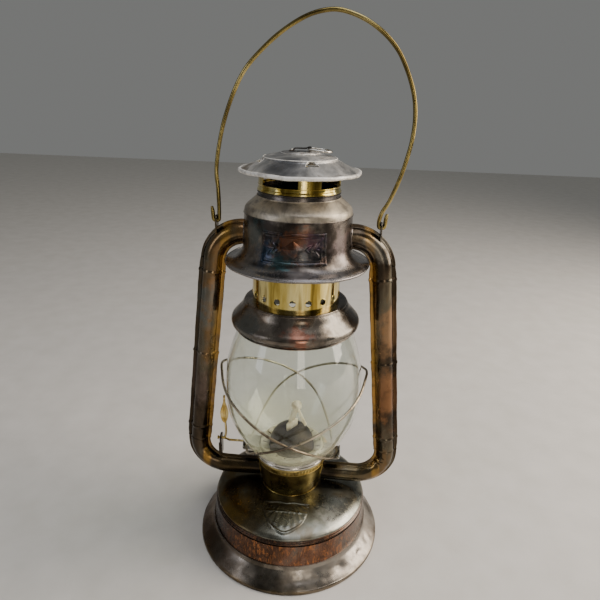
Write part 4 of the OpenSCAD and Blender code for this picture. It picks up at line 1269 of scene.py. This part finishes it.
def wick():
    """A flat wick frayed into a thick strand with a knot, from which a thin tail hangs down."""
    draw = np.random.default_rng(11)
    strand_a = smooth([[-1.8, 0, 117], [-2, -1, 120.5], [-2.1, -3, 125.5], [-1.8, -4.7, 131],
        [-1.6, -5.6, 135]], 5)
    strand_b = smooth([[-0.8, -6.6, 134.5], [0.4, -9.2, 128.5], [1.4, -12, 122.8], [2.1, -14.8, 117.8]], 5)
    ribs = []
    for k in range(11):
        x = -6.1 + 1.22 * k
        height = 115.6 + 1.6 * draw.uniform(0, 1)
        ribs.append(wire([[x, 0.05 * math.sin(z), z] for z in np.linspace(WICK_FOOT, height, 40)], 0.86,
            sides=8))
    parts = ribs + bundle(strand_a, 46, 2.7, 2.2, draw) + bundle(strand_b, 22, 1.3, -2.6, draw)
    parts.append(wire(strand_a, 2.0, sides=12))
    parts.append(wire(strand_b, 0.9, sides=10))
    centre = np.array([-1.6, -6.2, 136.2])
    for _ in range(90):
        axis = Matrix.Rotation(draw.uniform(0, TURN), 4, "Z") @ Matrix.Rotation(draw.uniform(0, math.pi), 4,
            "X")
        size, span = draw.uniform(1.6, 4.6), draw.uniform(2.0, 4.6)
        turns = np.linspace(0, span, 12)
        curl = np.stack([size * np.cos(turns), size * np.sin(turns), 0.5 * np.sin(3 * turns)], 1)
        curl = curl @ np.array(axis.to_3x3()).T + centre + draw.normal(0, 0.25, 3)
        parts.append(wire(smooth(curl, 2), draw.uniform(0.22, 0.42), up=(0.2, 0.1, 1), sides=6))
    parts.append(wire([centre + (0, 0, t) for t in np.linspace(-3.6, 3.4, 9)], 3.4, up=(0, 1, 0.001),
        sides=12, scale=[0.55, 0.8, 0.95, 1, 1, 0.97, 0.85, 0.65, 0.3]))
    for _ in range(26):
        aim = draw.normal(0, 1, 3)
        aim = aim / np.linalg.norm(aim) * draw.uniform(4.2, 6.0)
        bend = draw.normal(0, 0.5, 3)
        line = [centre + aim * t + bend * t * (1 - t) * 2 for t in np.linspace(0, 1, 6)]
        parts.append(wire(line, 0.2, up=(0.2, 0.1, 1), scale=np.linspace(1, 0.4, 6), sides=6))
    piece("wick", [moved(part, WICK_TURN) for part in parts], wick_cotton, "wick")


def wick_control():
    along = WICK_TURN @ Matrix.Translation((0, -6, 75)) @ Matrix.Rotation(math.pi / 2, 4, "Y")
    disc = [[0, 38.1], [1.4, 38.15], [1.8, 37.8], [3.6, 37.5], [6.2, 37.6], [7.0, 38.0], [7.7, 38.1],
        [8, 37.8], [8, 36.0], [7.7, 35.7], [6.6, 35.6], [3.6, 35.7], [3.4, 35.2], [3.4, 34], [1.5, 34],
        [0, 34]]
    knob = revolve(smooth(disc[::-1], 3), 192, lambda a, r, z: (-0.4 * np.clip((r - 7) / 0.6, 0, 1)
        * (0.5 + 0.5 * np.cos(28 * a)) ** 2, 0 * z))
    piece("wick_knob", [moved(knob, along)], lever_brass, "wick_raiser")
    shaft = revolve([[0, -9], [1.3, -9], [1.5, -8.7], [1.5, 33.9], [0, 33.9]], 32)
    piece("wick_shaft", [moved(shaft, along)], burner_metal, "wick_raiser")


def filler():
    at = Matrix.Translation((*FILLER_AT, 0))
    neck = [revolve([[11.5, 46], [11.5, 60], [11.2, 60.1], [10.5, 60], [10.5, 46]], 96),
        revolve([[13, 53.9], [12.6, 54.6], [11.4, 54.9], [11.4, 53.9]], 96)]
    neck += [bead(11.6, z, 0.22, 96) for z in (56, 57.4, 58.8)]
    piece("filler_neck", [moved(part, at) for part in neck], burner_metal, "frame")
    shell = [[13.5, 55.1], [13.6, 55.6], [13.6, 61.3], [13.3, 61.9], [12.5, 62.1], [12.2, 62.8],
        [11.4, 63.1], [9.4, 62.7], [5, 62.8], [0.2, 63.1], [0.2, 61.4], [12.4, 61.3], [12.6, 61],
        [12.6, 55.1]]
    cap = revolve(shell, FINE_ROUND, lambda a, r, z: (-0.4 * np.clip((r - 12.9) / 0.4, 0, 1)
        * np.clip((62 - z) / 0.5, 0, 1) * (0.5 + 0.5 * np.cos(36 * a)) ** 2, 0 * z))
    piece("filler_cap", [moved(cap, at)], lever_brass, "filler_cap")


def upright(x, z):
    """Stands a flat plate on edge so that it faces along X, with its centre at x and z."""
    return Matrix.Translation((x, 0, z)) @ Matrix.Rotation(math.pi / 2, 4,
        "Z") @ Matrix.Rotation(math.pi / 2, 4, "X")


LEVER_X = -66
CRANK_R = 11
LEVER_Z = PLATE_Z - 0.4 - GUARD_R + CRANK_R * math.sin(math.radians(45))
CRANK_Y = CRANK_R * math.cos(math.radians(45))


def lift_lever():
    low = LEVER_Z - CRANK_Y
    crank = smooth([[-69.2, 0, LEVER_Z], [-67, 0, LEVER_Z], [-64.4, 0, LEVER_Z], [-62.6, 0.5, LEVER_Z - 0.6],
        [-61.2, CRANK_Y * 0.5, LEVER_Z - CRANK_Y * 0.5], [-60.0, CRANK_Y - 0.7, low + 0.5],
        [-58.2, CRANK_Y, low], [-52, CRANK_Y, low], [-45, CRANK_Y, low], [-37.4, CRANK_Y, low]], 5)
    handle = smooth([[-63.4, 0, LEVER_Z - 0.2], [-62.2, 0.4, LEVER_Z + 2.6], [-61.6, 0.6, LEVER_Z + 8],
        [-62, 0, LEVER_Z + 20], [-62.6, 0, LEVER_Z + 34], [-62.5, 0, LEVER_Z + 45.6]], 6)
    boss = moved(revolve([[0, -69.6], [1.5, -69.6], [1.75, -69.2], [1.75, -68.5], [1.3, -68.3], [0, -68.3]],
        24), Matrix.Translation((0, 0, LEVER_Z)) @ Matrix.Rotation(math.pi / 2, 4, "Y"))
    parts = [wire(crank, 1.06, up=(0.1, 0.3, 1)), wire(handle, 1.02, up=(0, 1, 0.001)), boss]
    piece("lift_lever", parts, lever_brass, "lever")


def thumb_pad():
    widths = smooth([[0, 0.5], [2.4, 2.3], [5, 3.1], [9, 3.75], [12, 3.6], [16, 2.7], [20.5, 1.3],
        [23.6, 0.5]], 6)
    sections = []
    for _, w in widths:
        front = [[w * math.sin(t), -1.3 + 0.9 * math.cos(t) ** 2 * min(w / 3, 1)]
            for t in np.linspace(-1.45, 1.45, 17)]
        back = [[w * math.sin(t), 0.4 + 0.9 * math.cos(t) ** 2 * min(w / 3, 1)]
            for t in np.linspace(1.45, -1.45, 17)]
        sections.append(front + back)
    path = np.stack([np.full(len(widths), -62.55), np.zeros(len(widths)), 109.9 + widths[:, 0]], 1)
    piece("thumb_pad", [sweep(path, np.array(sections))], lever_brass, "lever")


def bracket():
    outline = [[-5, -17], [-5, -6], *arc((0, 0), 5, 180, 0, 22), [5, -6], [5, -17]]
    post = plate(outline, 1.5, holes=[(0, 0, 1.24)])
    stand = upright(LEVER_X, LEVER_Z)
    ribs = [box_part((LEVER_X - 1.6, y - 0.5, 76), (LEVER_X + 0.4, y + 0.5, LEVER_Z - 3))
        for y in (-4.4, 4.4)]
    piece("lever_bracket", [moved(post, stand)] + ribs, tube_metal, "frame")


BAIL_Z = 299


def bail_ears():
    for which, side in (("left", -1), ("right", 1)):
        outline = [[-4.6, -15], [-4.5, -7], *arc((0, 0), 4.5, 180, 0, 24), [4.5, -7], [4.6, -15]]
        tab = plate(outline, 1.15, holes=[(0, 0, 1.8)])
        stand = upright(side * 65, BAIL_Z)
        ring = wire(np.c_[arc((0, 0), 2.3, 0, 345, 23), np.full(24, 0.5 * side)], 0.32, up=(0, 0, 1),
            closed=True, sides=8)
        piece(which + "_bail_ear", [moved(tab, stand), moved(ring, stand)], tube_metal, "frame")


def bail():
    """One wire, hooked outwards through each ear and bent up again outside it."""
    arch = [[-62.9, BAIL_Z + 4], [-62.8, 310], [-63.2, 324], [-64.2, 337], [-62.1, 354], [-57.4, 374],
        [-49.9, 394], [-41, 410], [-27.3, 424.5], [-12.9, 436], [2.3, 444.5], [15.2, 448], [26, 448],
        [39.4, 444], [50.6, 438], [60, 430.6], [67.5, 422], [74.2, 410], [79.5, 396.5], [82, 383],
        [82, 368.5], [80, 355], [75.9, 338], [69.4, 320], [64.8, 311.5], [62.9, 304.6]]
    left = [[x, BAIL_Z + up] for x, up in ((-68.5, 11), (-67.9, 6.5), (-67.6, 2.6), (-67.1, 0.7), (-66, 0),
        (-64.2, 0), (-63.1, 0.8))]
    right = [[-x, z] for x, z in left[::-1]]
    line = smooth(left + arch + right, 6)
    size = 1 + 0.02 * np.sin(np.arange(len(line)) * 0.9)
    size[:6] = np.linspace(0.6, 1, 6)
    size[-6:] = np.linspace(1, 0.6, 6)
    path = np.stack([line[:, 0], np.zeros(len(line)), line[:, 1]], 1)
    piece("bail", [wire(path, 1.57, scale=size, sides=18)], wire_brass, "bail")


# ---------------------------------------------------------------- carried CAD nodes


def dress(node, material):
    """Gives a CAD node that stays in view its finish."""
    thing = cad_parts[node]
    if not thing.data.materials:
        thing.data.materials.append(material)
    for slot in thing.material_slots:
        slot.link = "OBJECT"
        slot.material = material


# ---------------------------------------------------------------- stage


def floor():
    mesh = bpy.data.meshes.new("floor")
    mesh.from_pydata([(-3, -3, 0), (3, -3, 0), (3, 3, 0), (-3, 3, 0)], [], [(0, 1, 2, 3)])
    thing = add_object("floor", mesh)
    look = Look("pale_floor", "")
    grain = look.noise(30, 4, 0.5)
    look.set(Base_Color=look.ramp(grain, [(0.3, "cfccc6"), (0.7, "d8d5d0")]), Roughness=0.7, Metallic=0.0)
    mesh.materials.append(look.material)


def lamp(name, place, aim, size, watts, tint):
    data = bpy.data.lights.new(name, "AREA")
    data.shape = "RECTANGLE"
    data.size, data.size_y = size
    data.energy = watts
    data.color = colour(tint)[:3]
    light = add_object(name, data)
    light.location = place
    light.rotation_euler = (Vector(aim) - Vector(place)).to_track_quat("-Z", "Y").to_euler()


def lights():
    world = bpy.data.worlds.new("studio")
    bpy.context.scene.world = world
    world.use_nodes = True
    sky = world.node_tree.nodes["Background"]
    sky.inputs["Color"].default_value = colour("a9aaa8")
    sky.inputs["Strength"].default_value = 0.45
    lamp("window_right", (1.1, 0.15, 0.75), (0, 0, 0.2), (0.9, 1.3), 25, "fff2e2")
    lamp("overhead", (0.2, -0.2, 1.4), (0, 0, 0.2), (1.0, 0.8), 6, "f4f6ff")
    lamp("fill_left", (-1.0, -0.7, 0.6), (0, 0, 0.2), (0.3, 0.9), 2.2, "eef2ff")
    lamp("front_strip", (0.4, -1.3, 0.5), (0, 0, 0.22), (0.3, 0.9), 3.5, "fff4e4")


# ---------------------------------------------------------------- the whole lantern

add_camera()
floor()
lights()
for build in (fount_dome, fount_band, base_skirt, fount_badge, air_cup, side_tubes, hood, hood_cartouche,
        chimney_parts, chimney_spring, globe_bell, draft_ring, cap_collar, rain_cap, ring_clip, lift_ring,
        globe_plate, gallery, globe, guard_loops, burner, wick, wick_control, filler, lift_lever, thumb_pad,
        bracket, bail_ears, bail):
    build()
for node in ("burner_collar", "wick_tube", "wick_sprockets"):
    dress(node, burner_metal)
dress("fount_bottom", skirt_metal)
dress("filler_gasket", gasket_rubber)
